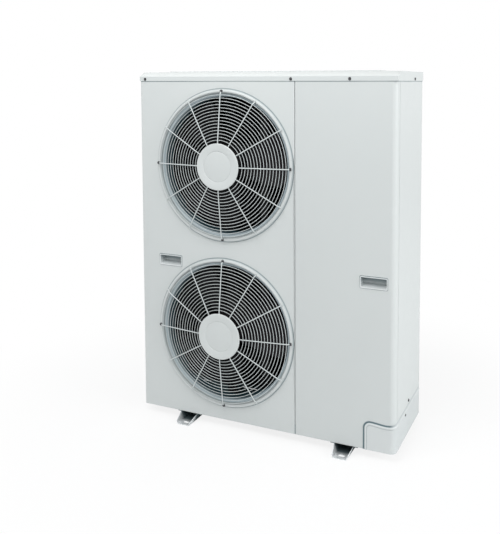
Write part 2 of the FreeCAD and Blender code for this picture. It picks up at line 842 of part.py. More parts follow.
def guard_spoke(z, angle, has_tab):
    """One spoke: flat behind the cap, then out along the dome and down to the collar's crest."""
    hub_y = front - guard_rise_at_hub
    flat = guard_first_ring_radius - guard_wire
    rim_y = front - guard_rise(guard_rim)
    foot = guard_screw_radius - screw_across_flats if has_tab else collar_inner_radius + guard_wire / 2
    end = foot + (guard_wire if has_tab else guard_foot_length)
    outline = [(guard_spoke_start, hub_y), (flat, hub_y), (guard_rim, rim_y), (foot, collar_crest),
               (end, collar_crest), (end, collar_crest - guard_wire),
               (foot + guard_wire, collar_crest - guard_wire), (guard_rim + guard_wire, rim_y - guard_wire),
               (flat, hub_y - guard_wire), (guard_spoke_start, hub_y - guard_wire)]
    if has_tab:
        del outline[5]
    bottom = z - guard_spoke_width / 2
    spoke = prism([point(fan_x + r, y, bottom) for r, y in outline], UP * guard_spoke_width)
    if has_tab:
        slot = screw_shank_across / 2 + guard_slot_clearance
        reach = fan_x + guard_screw_radius + screw_across_flats / 2
        tab = box(fan_x + foot, reach, collar_crest - guard_tab_sheet, collar_crest,
                  z - guard_tab_width / 2, z + guard_tab_width / 2)
        tab = tab.cut(box(fan_x + guard_screw_radius - slot, reach + 1, collar_crest - guard_tab_sheet - 1,
                          collar_crest + 1, z - slot, z + slot))
        spoke = spoke.fuse(tab).removeSplitter()
    spoke.rotate(point(fan_x, 0, z), BACK, angle)
    return spoke


def fan_guard(z):
    """The finger guard: welded rings behind twelve spokes, four of which end in slotted screw tabs."""
    wires = []
    for i in range(guard_spoke_count):
        wires.append(guard_spoke(z, 360 * i / guard_spoke_count, i % (guard_spoke_count // 4) == 0))
    for i in range(guard_ring_count):
        wires.append(guard_ring(i, z))
    return group(wires)


def guard_cap(z):
    """The round cap in the middle of the guard, seated on the flat inner ends of the spokes."""
    seat = point(fan_x, front - guard_rise_at_hub - guard_wire, z)
    return prism(sides_of(guard_cap_radius, guard_cap_sides, seat, FRONT), FRONT * guard_cap_thickness)


def fan_blade(z):
    """One twisted, cambered blade, wrapped round the fan's axis from inside the hub to the tip circle."""
    root = fan_hub_radius - fan_hub_chamfer

    def corner(i, j, skin):
        out = i / fan_radial_steps
        radius = root + (fan_radius - root) * out
        chord = fan_root_chord + (fan_tip_chord - fan_root_chord) * out
        pitch = math.radians(fan_root_pitch + (fan_tip_pitch - fan_root_pitch) * out)
        share = j / fan_chord_steps - 0.5
        crown = fan_blade_camber * (1 - 4 * share * share)
        around = share * chord * math.cos(pitch) - crown * math.sin(pitch) + fan_blade_sweep * out
        along = share * chord * math.sin(pitch) + crown * math.cos(pitch) + skin
        angle = around / radius
        return point(fan_x + radius * math.cos(angle), hub_middle + along, z + radius * math.sin(angle))

    quads = []
    back = fan_blade_thickness
    for i in range(fan_radial_steps):
        for j in range(fan_chord_steps):
            quads.append([corner(i, j, 0), corner(i + 1, j, 0), corner(i + 1, j + 1, 0),
                          corner(i, j + 1, 0)])
            quads.append([corner(i, j + 1, back), corner(i + 1, j + 1, back), corner(i + 1, j, back),
                          corner(i, j, back)])
        for j in (0, fan_chord_steps):
            quads.append([corner(i, j, 0), corner(i, j, back), corner(i + 1, j, back), corner(i + 1, j, 0)])
    for j in range(fan_chord_steps):
        for i in (0, fan_radial_steps):
            quads.append([corner(i, j, 0), corner(i, j + 1, 0), corner(i, j + 1, back), corner(i, j, back)])
    faces = []
    for a, b, c, d in quads:
        faces += [[a, b, c], [a, c, d]]
    return solid_of(faces)


def fan(z):
    """The fan wheel: a bored hub with its blades fused on."""
    hub = faceted([(fan_hub_radius - fan_hub_chamfer, 0), (fan_hub_radius, fan_hub_chamfer),
                   (fan_hub_radius, fan_hub_length)], point(fan_x, hub_front, z), BACK, fan_hub_sides)
    blade = fan_blade(z)
    for i in range(fan_blade_count):
        copy = blade.copy()
        copy.rotate(point(fan_x, 0, z), BACK, 360 * i / fan_blade_count)
        hub = hub.fuse(copy)
    bore = pipe(shaft_radius + shaft_clearance, point(fan_x, hub_front - 1, z),
                point(fan_x, hub_rear + 1, z))
    return hub.cut(bore).removeSplitter()


def fan_shaft(z):
    return rod(shaft_radius, point(fan_x, hub_front - shaft_stub, z),
               point(fan_x, motor_front + motor_bore_depth, z))


def fan_motor(z):
    """The motor's body, bored for its shaft."""
    body = faceted([(motor_radius - motor_chamfer, 0), (motor_radius, motor_chamfer),
                    (motor_radius, motor_length)], point(fan_x, motor_front, z), BACK, motor_sides)
    return body.cut(rod(shaft_radius + shaft_clearance, point(fan_x, motor_front - 1, z),
                        point(fan_x, motor_front + motor_bore_depth + 0.5, z)))


def motor_mast():
    """Two channels from the pan to the coil's top, with a plate behind each motor."""
    top = coil_top + mast_sheet
    half = mast_rail_spacing / 2
    mast = box(fan_x - half, fan_x + half, mast_front, coil_rear, coil_top, top)
    for side in (-1, 1):
        x0 = fan_x + side * half - mast_rail_width / 2
        x1 = x0 + mast_rail_width
        rail = box(x0, x1, mast_front, mast_front + mast_rail_depth, pan_top, top)
        rail = rail.cut(box(x0 + mast_sheet, x1 - mast_sheet, mast_front + mast_sheet,
                            mast_front + mast_rail_depth + 1, pan_top - 1, coil_top))
        mast = mast.fuse(rail)
    reach = half + mast_rail_width / 2
    for z in fan_heights.values():
        mast = mast.fuse(box(fan_x - reach, fan_x + reach, motor_rear, mast_front,
                             z - mast_plate_height / 2, z + mast_plate_height / 2))
    return mast.removeSplitter()


def condenser_coil():
    """The finned block, bent round the rear left corner. Upright grooves stand for the gaps between its fins."""
    path = [(partition_x, coil_rear), (coil_left, coil_rear), (coil_left, coil_front)]
    block = folded_sheet(path, coil_thickness, (coil_bend_radius,), pan_top, coil_top)
    half = coil_groove_width / 2
    grooves = []
    for x in groove_places(coil_left + coil_bend_radius, partition_x):
        grooves.append(box(x - half, x + half, coil_rear - coil_groove_depth, coil_rear + 1,
                           pan_top - 1, coil_top + 1))
    for y in groove_places(coil_front, coil_rear - coil_bend_radius):
        grooves.append(box(coil_left - 1, coil_left + coil_groove_depth, y - half, y + half,
                           pan_top - 1, coil_top + 1))
    return block.cut(group(grooves))


def groove_places(start, end):
    """The middles of the grooves between start and end, evenly spaced."""
    count = int((end - start) / coil_groove_pitch)
    return [start + (end - start) * (i + 0.5) / count for i in range(count)]


def coil_tube_sheets():
    """The end plates of the coil: one beside the partition, one at the front of the left side."""
    inner = box(partition_x, tube_sheet_face, coil_inner - tube_sheet_lip, coil_rear, pan_top, coil_top)
    outer = box(coil_left, coil_left + coil_thickness + tube_sheet_lip,
                coil_front - tube_sheet_thickness, coil_front, pan_top, coil_top)
    return group([inner, outer])


def coil_return_bends():
    """The hairpin bends that join the coil's tubes outside the end plate."""
    bends = []
    y = coil_inner + return_bend_inset
    low = header_bottom + liquid_header_height
    span = coil_top - 2 * return_bend_height - low
    for i in range(return_bend_count):
        z = low + span * i / (return_bend_count - 1)
        out = tube_sheet_face + return_bend_reach
        corners = [point(tube_sheet_face, y, z), point(out, y, z), point(out, y, z + return_bend_height),
                   point(tube_sheet_face, y, z + return_bend_height)]
        bends.append(bent_pipe(corners, return_bend_radius, return_bend_height / 4, return_bend_sides))
    return group(bends)


def header(z0, z1, boss_z):
    """A collecting pipe on the coil's end plate, with its feed tubes and a socket for its line."""
    pipe = faceted([(header_radius, 0), (header_radius, z1 - z0)], point(header_x, header_y, z0), UP,
                   pipe_sides)
    for i in range(header_tube_count):
        z = z0 + (z1 - z0) * (i + 0.5) / header_tube_count
        tube = sides_of(header_tube_radius, 6, point(tube_sheet_face, header_y, z), RIGHT)
        pipe = pipe.fuse(prism(tube, RIGHT * header_reach))
    boss = sides_of(header_boss, pipe_sides, point(header_x, header_y, boss_z), FRONT)
    return pipe.fuse(prism(boss, FRONT * (header_radius + header_boss))).removeSplitter()


def liquid_header():
    return header(header_bottom, header_bottom + liquid_header_height, liquid_z)


def gas_header():
    return header(header_bottom + liquid_header_height + header_gap, coil_top - 2 * header_gap,
                  compressor_top + discharge_rise)


def wire_mesh(start, end, wire):
    """Upright wires with level wires behind them. wire draws one: its ends along the wall, its layer."""
    wires = []
    gaps = round((end - start) / mesh_column_pitch)
    for i in range(gaps + 1):
        near = start + (end - start - mesh_wire) * i / gaps
        wires.append(wire(near, near + mesh_wire, 0, rim_top, panel_top))
    rows = round((panel_top - rim_top) / mesh_row_pitch)
    for i in range(rows):
        z = rim_top + (panel_top - rim_top) * (i + 0.5) / rows
        wires.append(wire(start, end, 1, z, z + mesh_wire))
    return group(wires)


def rear_coil_guard():
    def wire(near, far, layer, z0, z1):
        y1 = rear - layer * mesh_wire
        return box(near, far, y1 - mesh_wire, y1, z0, z1)

    return wire_mesh(left + rear_post_width, rear_panel_edge, wire)


def left_coil_guard():
    def wire(near, far, layer, z0, z1):
        x0 = left + layer * mesh_wire
        return box(x0, x0 + mesh_wire, near, far, z0, z1)

    return wire_mesh(front + left_return, rear - rear_post_width, wire)


def partition():
    return box(partition_x, partition_face, panel_back + pan_sheet, coil_inner - tube_sheet_lip,
               pan_top, roof)


def compressor():
    """The hermetic shell on its three-cornered foot plate, with the terminal cap on its side."""
    r = compressor_radius
    shell = faceted([(r - compressor_chamfer, 0), (r, compressor_chamfer),
                     (r, compressor_height - compressor_dome),
                     (r * 0.8, compressor_height - compressor_dome / 3), (r * 0.5, compressor_height)],
                    point(compressor_x, compressor_y, compressor_base), UP, compressor_sides)
    plate = prism(foot_plate_corners(), DOWN * compressor_foot_sheet)
    z = compressor_base + compressor_height / 2
    cap = box(compressor_x, compressor_x + r + terminal_cap_depth, compressor_y - terminal_cap_width / 2,
              compressor_y + terminal_cap_width / 2, z, z + terminal_cap_height)
    return shell.fuse(plate).fuse(cap).removeSplitter()


def foot_plate_corners():
    """The foot plate's outline: three blunt corners over the rubber feet."""
    corners = []
    for foot_angle in (90, 210, 330):
        for side in (-1, 1):
            angle = math.radians(foot_angle)
            reach = compressor_foot_radius + rubber_radius
            corners.append(point(
                compressor_x + reach * math.cos(angle) - side * rubber_radius * math.sin(angle),
                compressor_y + reach * math.sin(angle) + side * rubber_radius * math.cos(angle),
                compressor_base))
    return corners


def compressor_mounts():
    feet = []
    for foot_angle in (90, 210, 330):
        angle = math.radians(foot_angle)
        base = point(compressor_x + compressor_foot_radius * math.cos(angle),
                     compressor_y + compressor_foot_radius * math.sin(angle), pan_top)
        feet.append(faceted([(rubber_radius, 0), (rubber_radius * 0.85, rubber_height)], base, UP,
                            rubber_sides))
    return group(feet)


def suction_accumulator():
    """The upright drum strapped to the front of the compressor."""
    r = accumulator_radius
    drum = faceted([(r - accumulator_cone, 0), (r, accumulator_cone),
                    (r, accumulator_height - accumulator_cone), (r - accumulator_cone, accumulator_height)],
                   point(compressor_x, accumulator_y, pan_top + accumulator_lift), UP, 16)
    z = compressor_base + compressor_height / 2
    strap = box(compressor_x - rubber_radius / 2, compressor_x + rubber_radius / 2, accumulator_y,
                compressor_y - compressor_radius, z, z + accumulator_strap)
    return drum.fuse(strap).removeSplitter()


def plate_heat_exchanger():
    """Brazed plates between two thicker end plates: three ports in front, and a threaded one to the rear."""
    half = exchanger_width / 2
    inner = half - exchanger_end_lip
    top = exchanger_base + exchanger_height
    block = box(exchanger_x - inner, exchanger_x + inner, exchanger_front, exchanger_rear,
                exchanger_base + exchanger_end_lip, top - exchanger_end_lip)
    for y in (exchanger_front, exchanger_rear - exchanger_end_plate):
        block = block.fuse(box(exchanger_x - half, exchanger_x + half, y, y + exchanger_end_plate,
                               exchanger_base, top))
    for x, z, radius in ((water_x, exchanger_high_port, water_pipe_radius),
                         (refrigerant_x, exchanger_high_port, suction_radius * 1.4),
                         (refrigerant_x, exchanger_low_port, suction_radius)):
        block = block.fuse(pipe(radius, point(x, port_face, z), point(x, exchanger_front, z)))
    block = block.fuse(water_stub(exchanger_low_port, exchanger_rear))
    return block.cut(water_stub_bore(exchanger_low_port)).removeSplitter()


def exchanger_stand():
    """A folded table under the heat exchanger, over the water return pipe."""
    x0 = exchanger_x - exchanger_width / 2
    x1 = exchanger_x + exchanger_width / 2
    outer = box(x0, x1, exchanger_front, exchanger_rear, pan_top, exchanger_base)
    return outer.cut(box(x0 + stand_sheet, x1 - stand_sheet, exchanger_front - 1, exchanger_rear + 1,
                         pan_top - 1, exchanger_base - stand_sheet))


def water_stub(z, inner_y):
    """A pipe that leaves through the rear and ends in a thread."""
    end = point(water_x, rear + water_stub_reach, z)
    thread = rod(water_thread_radius, end + FRONT * water_thread_length, end)
    return pipe(water_pipe_radius, point(water_x, inner_y, z), end).fuse(thread)


def water_stub_bore(z):
    end = point(water_x, rear + water_stub_reach, z)
    return pipe(water_bore_radius, end + FRONT * water_bore_depth, end + BACK)


def water_return_pipe():
    """From the rear to the drain valve, with a branch up to the pump."""
    main = water_stub(water_return_z, drain_rear)
    branch = pipe(water_pipe_radius, point(water_x, pump_y, water_return_z),
                  point(water_x, pump_y, pump_z - pump_port_reach))
    return main.fuse(branch).cut(water_stub_bore(water_return_z)).removeSplitter()


def pump_housing():
    """The pump's cup, open towards its motor, with one port below and one above."""
    base = point(water_x, pump_y + pump_depth / 2, pump_z)
    cup = faceted([(pump_radius, 0), (pump_radius, pump_depth)], base, FRONT, pump_sides)
    ports = pipe(water_pipe_radius, point(water_x, pump_y, pump_z - pump_port_reach),
                 point(water_x, pump_y, pump_z + pump_port_reach))
    cavity = faceted([(pump_radius - pump_wall, 0), (pump_radius - pump_wall, pump_depth)],
                     base + FRONT * pump_wall, FRONT, pump_sides)
    return cup.fuse(ports).cut(cavity).removeSplitter()


def pump_rotor():
    """The impeller and its shaft, which turn together."""
    back_y = pump_front + impeller_gap
    disc = faceted([(impeller_radius, 0), (impeller_radius, impeller_sheet)],
                   point(water_x, back_y, pump_z), BACK, pump_sides)
    hub_end = back_y + impeller_sheet + impeller_blade_height
    rotor = disc.fuse(faceted([(impeller_hub_radius, 0), (impeller_hub_radius, impeller_blade_height)],
                              point(water_x, back_y + impeller_sheet, pump_z), BACK, 12))
    for i in range(impeller_blade_count):
        vane = box(water_x + impeller_hub_radius - 1, water_x + impeller_radius - 1,
                   back_y + impeller_sheet, hub_end, pump_z, pump_z + impeller_blade_sheet)
        vane.rotate(point(water_x, 0, pump_z), BACK, 360 * i / impeller_blade_count)
        rotor = rotor.fuse(vane)
    shaft = rod(pump_shaft_radius, point(water_x, pump_front - pump_bore_depth, pump_z),
                point(water_x, back_y + impeller_sheet, pump_z))
    return rotor.fuse(shaft).removeSplitter()


def pump_motor():
    """The motor block in front of the pump, bored for the rotor's shaft."""
    half = pump_motor_size / 2
    cut = half - pump_motor_chamfer
    outline = [(-half, -cut), (-half, cut), (-cut, half), (cut, half),
               (half, cut), (half, -cut), (cut, -half), (-cut, -half)]
    corners = [point(water_x + u, pump_front, pump_z + v) for u, v in outline]
    block = prism(corners, FRONT * pump_motor_length)
    return block.cut(rod(pump_shaft_radius + shaft_clearance, point(water_x, pump_front + 1, pump_z),
                         point(water_x, pump_front - pump_bore_depth - 0.5, pump_z)))


def pump_riser_pipe():
    """From the pump up to the heat exchanger, with a socket for the expansion hose."""
    riser = pipe(water_pipe_radius, point(water_x, pump_y, pump_z + pump_port_reach),
                 point(water_x, pump_y, riser_top))
    riser = riser.fuse(pipe(water_pipe_radius, point(water_x, pump_y, exchanger_high_port),
                            point(water_x, port_face, exchanger_high_port)))
    riser = riser.fuse(pipe(boss_radius, point(water_x, pump_y, hose_z), point(hose_x, pump_y, hose_z)))
    return riser.removeSplitter()


def air_vent():
    seat = point(water_x, pump_y, riser_top)
    return faceted([(vent_radius * 0.7, 0), (vent_radius, vent_height / 4), (vent_radius, vent_height * 0.8),
                    (vent_radius * 0.6, vent_height)], seat, UP, 12)


def drain_valve():
    """The valve's body and outlet, bored for the lever's stem."""
    centre = point(water_x, drain_rear, water_return_z)
    body = faceted([(drain_body_radius, 0), (drain_body_radius, drain_body_length)], centre, FRONT, 8)
    outlet = pipe(drain_outlet_radius, point(water_x, drain_front, water_return_z),
                  point(water_x, drain_front - drain_outlet_length, water_return_z))
    top = water_return_z + drain_body_radius
    bore = rod(stem_radius + shaft_clearance, point(water_x, drain_y, top - stem_depth - 0.5),
               point(water_x, drain_y, top + 1))
    return body.fuse(outlet).cut(bore)


def drain_valve_lever():
    """The lever and its stem, drawn closed: across the pipe."""
    top = water_return_z + drain_body_radius
    stem = rod(stem_radius, point(water_x, drain_y, top - stem_depth),
               point(water_x, drain_y, top + lever_lift))
    lever = box(water_x - lever_width / 2, water_x + lever_length, drain_y - lever_width / 2,
                drain_y + lever_width / 2, top + lever_lift, top + lever_lift + lever_thickness)
    return stem.fuse(lever).removeSplitter()


def expansion_vessel():
    """A flat vessel with cut corners, on two straps against the rear panel."""
    x0 = vessel_x - vessel_width / 2
    x1 = vessel_x + vessel_width / 2
    z0 = vessel_base
    z1 = vessel_base + vessel_height
    outline = [(x0, z0 + vessel_corner), (x0, z1 - vessel_corner), (x0 + vessel_corner, z1),
               (x1 - vessel_corner, z1), (x1, z1 - vessel_corner), (x1, z0 + vessel_corner),
               (x1 - vessel_corner, z0), (x0 + vessel_corner, z0)]
    body = prism([point(x, vessel_rear, z) for x, z in outline], FRONT * vessel_depth)
    for z in (z0 + vessel_corner, z1 - vessel_corner - vessel_strap_height):
        body = body.fuse(box(x0, x1, vessel_rear, machine_rear, z, z + vessel_strap_height))
    return body.removeSplitter()


def vessel_hose():
    """From the riser to the bottom of the expansion vessel."""
    turn_z = hose_z + hose_height
    middle_y = vessel_rear - vessel_depth / 2
    x = hose_x - hose_run
    corners = [point(hose_x, pump_y, hose_z), point(x, pump_y, hose_z), point(x, pump_y, turn_z),
               point(x, middle_y, turn_z), point(x, middle_y, vessel_base)]
    return bent_pipe(corners, hose_radius, hose_bend, pipe_sides)


def control_box():
    """A tray open to the front, hung on the partition."""
    x1 = partition_face + control_width
    tray = box(partition_face, x1, control_front, control_back, control_top - control_height, control_top)
    return tray.cut(box(partition_face + control_sheet, x1 - control_sheet, control_front - 1,
                        control_back - control_sheet, control_top - control_height + control_sheet,
                        control_top - control_sheet))


def control_box_lid():
    return box(partition_face, partition_face + control_width, control_front - control_sheet, control_front,
               control_top - control_height, control_top)


def terminal_block():
    """The row of supply terminals low in the control box, with grooves between them."""
    x0 = partition_face + control_sheet + terminal_inset
    y1 = control_back - control_sheet
    y0 = y1 - terminal_depth
    z0 = control_top - control_height + control_sheet + terminal_inset
    block = box(x0, x0 + terminal_width, y0, y1, z0, z0 + terminal_height)
    for i in range(1, terminal_count):
        x = x0 + terminal_width * i / terminal_count
        block = block.cut(box(x - terminal_groove / 2, x + terminal_groove / 2,
                              y0 - 1, y0 + terminal_depth / 2, z0 - 1, z0 + terminal_height + 1))
    return block


def discharge_pipe():
    z = compressor_top + discharge_rise
    corners = [point(compressor_x, compressor_y, compressor_top), point(compressor_x, compressor_y, z),
               point(header_x, compressor_y, z), point(header_x, header_socket_y, z)]
    return bent_pipe(corners, discharge_radius, pipe_bend, pipe_sides)


def suction_pipe():
    y = port_face - suction_setback
    z = exchanger_high_port + suction_rise
    corners = [point(refrigerant_x, port_face, exchanger_high_port),
               point(refrigerant_x, y, exchanger_high_port), point(refrigerant_x, y, z),
               point(compressor_x, y, z), point(compressor_x, accumulator_y, z),
               point(compressor_x, accumulator_y, accumulator_top)]
    return bent_pipe(corners, suction_radius, pipe_bend, pipe_sides)


def liquid_pipe():
    """From the liquid header forward along the partition to the filter drier."""
    wall_x = partition_face + liquid_wall_gap
    turn_y = header_socket_y - 2.5 * pipe_bend
    corners = [point(header_x, header_socket_y, liquid_z), point(header_x, turn_y, liquid_z),
               point(wall_x, turn_y, liquid_z), point(wall_x, liquid_y, liquid_z),
               point(drier_x, liquid_y, liquid_z)]
    return bent_pipe(corners, liquid_radius, liquid_bend, pipe_sides)


def filter_drier():
    r = drier_radius
    return faceted([(r / 2, 0), (r, r / 2), (r, drier_length - r / 2), (r / 2, drier_length)],
                   point(drier_x, liquid_y, liquid_z), RIGHT, 12)


def expansion_valve():
    """The valve screwed onto the drier's outlet."""
    r = expansion_valve_radius
    length = expansion_valve_length
    return faceted([(r * 0.6, 0), (r * 0.6, length / 4), (r, length / 3), (r, length)],
                   point(valve_x, liquid_y, liquid_z), RIGHT, 12)


def injection_pipe():
    """From the expansion valve up and back to the heat exchanger."""
    corners = [point(valve_x + expansion_valve_length, liquid_y, liquid_z),
               point(refrigerant_x, liquid_y, liquid_z), point(refrigerant_x, liquid_y, exchanger_low_port),
               point(refrigerant_x, port_face, exchanger_low_port)]
    return bent_pipe(corners, liquid_radius, liquid_bend, pipe_sides)


def cable_gland():
    """The gland for the mains cable: thread through the rear sheet, hexagon and dome outside."""
    seat = point(gland_x, rear, gland_z)
    gland = prism(sides_of(gland_across_flats / 2, 6, seat, BACK), BACK * gland_flange)
    gland = gland.fuse(pipe(gland_dome_radius, seat, seat + BACK * gland_reach))
    gland = gland.fuse(pipe(gland_thread_radius, seat + FRONT * gland_thread_length, seat))
    return gland.cut(rod(gland_bore_radius, seat + FRONT * (gland_thread_length + 1),
                         seat + BACK * (gland_reach + 1))).removeSplitter()


nodes = {
    "base_pan": base_pan(),
    "left_foot_rail": foot_rail(left + left_foot_from_left),
    "right_foot_rail": foot_rail(right - right_foot_from_right),
    "fan_panel": fan_panel(),
    "service_panel": service_panel(),
    "side_panel": side_panel(),
    "rear_post": rear_post(),
    "top_cover": top_cover(),
    "left_grip_cup": grip_cup(left_grip_x),
    "right_grip_cup": grip_cup(right_grip_x),
    "pipe_cover": pipe_cover(),
    "guard_screws": group([screw(seat, outward) for seat, outward in guard_screw_places()]),
    "case_screws": group([screw(seat, outward) for seat, outward in case_screw_places()]),
    "motor_mast": motor_mast(),
    "condenser_coil": condenser_coil(),
    "coil_tube_sheets": coil_tube_sheets(),
    "coil_return_bends": coil_return_bends(),
    "liquid_header": liquid_header(),
    "gas_header": gas_header(),
    "rear_coil_guard": rear_coil_guard(),
    "left_coil_guard": left_coil_guard(),
    "partition": partition(),
    "compressor": compressor(),
    "compressor_mounts": compressor_mounts(),
    "suction_accumulator": suction_accumulator(),
    "discharge_pipe": discharge_pipe(),
    "suction_pipe": suction_pipe(),
    "liquid_pipe": liquid_pipe(),
    "filter_drier": filter_drier(),
    "expansion_valve": expansion_valve(),
    "injection_pipe": injection_pipe(),
    "plate_heat_exchanger": plate_heat_exchanger(),
    "exchanger_stand": exchanger_stand(),
    "water_return_pipe": water_return_pipe(),
    "pump_housing": pump_housing(),
    "pump_rotor": pump_rotor(),
    "pump_motor": pump_motor(),
    "pump_riser_pipe": pump_riser_pipe(),
    "drain_valve": drain_valve(),
    "drain_valve_lever": drain_valve_lever(),
    "air_vent": air_vent(),
    "expansion_vessel": expansion_vessel(),
    "vessel_hose": vessel_hose(),
    "control_box": control_box(),
    "control_box_lid": control_box_lid(),
    "terminal_block": terminal_block(),
    "cable_gland": cable_gland(),
}
for place, height in fan_heights.items():
    nodes[place + "_bellmouth"] = bellmouth(height)
    nodes[place + "_fan_guard"] = fan_guard(height)
    nodes[place + "_guard_cap"] = guard_cap(height)
    nodes[place + "_fan"] = fan(height)
    nodes[place + "_fan_shaft"] = fan_shaft(height)
    nodes[place + "_fan_motor"] = fan_motor(height)

os.makedirs("parts", exist_ok=True)
for name, shape in nodes.items():
    shape.exportStep("parts/" + name + ".step")
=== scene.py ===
# %% [markdown]
# # An air-cooled mini chiller
#
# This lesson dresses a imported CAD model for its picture. The chiller is a tall cabinet of painted sheet
# steel. Two fans, one above the other, blow out of its front through round collars, and a conical wire guard
# covers each of them. A coil of thin fins wraps the rear left corner.
#
# The CAD model already has every piece at its real size. Blender adds what drawings leave out: round wires,
# smooth curves, soft edges, hundreds of fins, and finishes that catch the light as paint and metal do.

import json
import math

import bmesh
import bpy
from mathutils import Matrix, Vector


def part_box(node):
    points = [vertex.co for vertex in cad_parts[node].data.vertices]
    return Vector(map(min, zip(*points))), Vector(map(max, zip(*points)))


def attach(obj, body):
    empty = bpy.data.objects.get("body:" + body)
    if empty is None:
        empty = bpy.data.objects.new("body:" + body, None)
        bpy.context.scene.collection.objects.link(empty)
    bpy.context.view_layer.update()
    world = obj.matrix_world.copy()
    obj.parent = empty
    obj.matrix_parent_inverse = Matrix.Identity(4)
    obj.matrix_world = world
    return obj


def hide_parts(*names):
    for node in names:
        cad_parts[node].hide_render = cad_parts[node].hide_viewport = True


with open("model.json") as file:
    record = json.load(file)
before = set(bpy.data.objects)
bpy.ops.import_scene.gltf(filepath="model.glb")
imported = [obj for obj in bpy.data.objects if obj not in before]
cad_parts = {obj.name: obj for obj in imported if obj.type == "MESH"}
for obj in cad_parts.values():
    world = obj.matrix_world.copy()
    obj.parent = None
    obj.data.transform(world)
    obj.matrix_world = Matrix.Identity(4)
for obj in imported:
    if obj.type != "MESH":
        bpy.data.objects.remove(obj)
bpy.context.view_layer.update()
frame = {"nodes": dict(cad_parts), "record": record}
slot_of = {part["node"]: part["material_slot"] for part in frame["record"]["subparts"]}
body_of = {node: body for body, nodes in frame["record"]["behaviour"]["bodies"].items() for node in nodes}

# %% [markdown]
# ## The sizes that the pieces share
#
# All pieces use the CAD frame, in metres: X to the right, Y to the back, Z up, and the floor at zero. The
# fans turn about lines that run along Y. A few sizes of the cabinet are read from the CAD nodes, so that the
# new pieces follow them. The rest are the sizes that the drawings give.

# %% Shared sizes
panel_low, panel_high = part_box("service_panel")
front = panel_low.y
right = panel_high.x
left = -right
rear = -front
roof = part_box("top_cover")[0].z
FRONT, BACK, RIGHT, LEFT, DOWN = (0, -1, 0), (0, 1, 0), (1, 0, 0), (-1, 0, 0), (0, 0, -1)
fan_centres = {}
for place in ("upper", "lower"):
    low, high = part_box(place + "_guard_cap")
    fan_centres[place] = (low + high) / 2
print("front", round(front, 4), "right", round(right, 4), "roof", round(roof, 4))
print("fan centres:", [[round(v, 4) for v in centre] for centre in fan_centres.values()])

# %% [markdown]
# ## The camera
#
# The photographer stood at the right of the chiller's front, a little above its middle, and the chiller sits
# high in the frame. The lens shift moves the picture without tilting the camera further, so the upright
# edges keep the slant that they have in the photograph.

# %% Camera
camera_data = bpy.data.cameras.new("camera")
camera_data.lens = 46.98
camera_data.sensor_width = 36.0
camera_data.shift_x = -0.108
camera_data.shift_y = -0.255
camera = bpy.data.objects.new("camera", camera_data)
camera.location = (1.0976, -2.3636, 1.2735)
look_down, look_left = math.radians(3.94), math.radians(22.62)
camera.rotation_euler = (math.pi / 2 - look_down, 0.0, look_left)
bpy.context.scene.collection.objects.link(camera)
bpy.context.scene.camera = camera
bpy.context.scene.view_settings.view_transform = "Standard"
print("camera at", tuple(round(v, 2) for v in camera.location))

# %% [markdown]
# ## Helpers for trees of nodes
#
# The world, a material and a geometry tree are all trees of nodes. Built in code, each node needs the same
# three steps: make it, set what it does, and feed its inputs. `add` takes these steps in one line. What feeds
# an input is a plain value, a socket, or a whole node, which then gives its first output.

# %% Node helpers
def emptied(owner):
    """The node tree of a world or a material, without the nodes that it starts with."""
    owner.use_nodes = True
    owner.node_tree.nodes.clear()
    return owner.node_tree


def add(tree, kind, inputs=(), **settings):
    """Add a node. inputs pairs a socket's name or number with what feeds it, or with a list of these."""
    node = tree.nodes.new(kind)
    for key, value in settings.items():
        setattr(node, key, value)
    for key, value in dict(inputs).items():
        for source in value if isinstance(value, list) else [value]:
            if isinstance(source, bpy.types.Node):
                source = source.outputs[0]
            if isinstance(source, bpy.types.NodeSocket):
                tree.links.new(source, node.inputs[key])
            else:
                node.inputs[key].default_value = source
    return node


def math_of(tree, operation, *values):
    """A Math node with its inputs in order."""
    return add(tree, "ShaderNodeMath", dict(enumerate(values)), operation=operation)


def ranged(tree, value, interpolation="LINEAR", **ends):
    """Map value from one range to another, whose ends are given as from_min, from_max, to_min and to_max."""
    inputs = {label.replace("_", " ").title(): end for label, end in ends.items()}
    return add(tree, "ShaderNodeMapRange", dict(inputs, Value=value), interpolation_type=interpolation)


print("node helpers ready")

# %% [markdown]
# ## Light
#
# The picture was taken in plain studio light: soft from all sides, with more of it from the right, so the
# right side of the cabinet is the palest. The world gives the soft part. Light Path sends a pure white only
# to the camera and to reflections, so the background stays white while the light on the object stays at a
# level where a colour looks as it is written.

# %% World and lamps
world = bpy.data.worlds.new("studio")
bpy.context.scene.world = world
tree = emptied(world)
path = add(tree, "ShaderNodeLightPath")
soft_light = add(tree, "ShaderNodeBackground", {"Color": (0.97, 0.99, 1.0, 1.0), "Strength": 0.59})
white = add(tree, "ShaderNodeBackground", {"Color": (1.0, 1.0, 1.0, 1.0), "Strength": 1.0})
either = math_of(tree, "MAXIMUM", path.outputs["Is Camera Ray"], path.outputs["Is Glossy Ray"])
mix = add(tree, "ShaderNodeMixShader", {"Fac": either, 1: soft_light, 2: white})
add(tree, "ShaderNodeOutputWorld", {"Surface": mix})
lit_point = Vector((0.0, 0.0, 0.65))


def soft_lamp(name, place, size, power):
    """A square lamp at place that faces the middle of the chiller."""
    data = bpy.data.lights.new(name, "AREA")
    data.size = size
    data.energy = power
    lamp = bpy.data.objects.new(name, data)
    lamp.location = place
    lamp.rotation_euler = (lit_point - Vector(place)).to_track_quat("-Z", "Y").to_euler()
    bpy.context.scene.collection.objects.link(lamp)


soft_lamp("top_lamp", (-0.2, -1.4, 3.0), 1.5, 42.0)
soft_lamp("right_lamp", (4.6, -0.5, 2.0), 2.2, 100.0)
soft_lamp("rear_lamp", (-2.5, 4.0, 3.0), 3.0, 20.0)

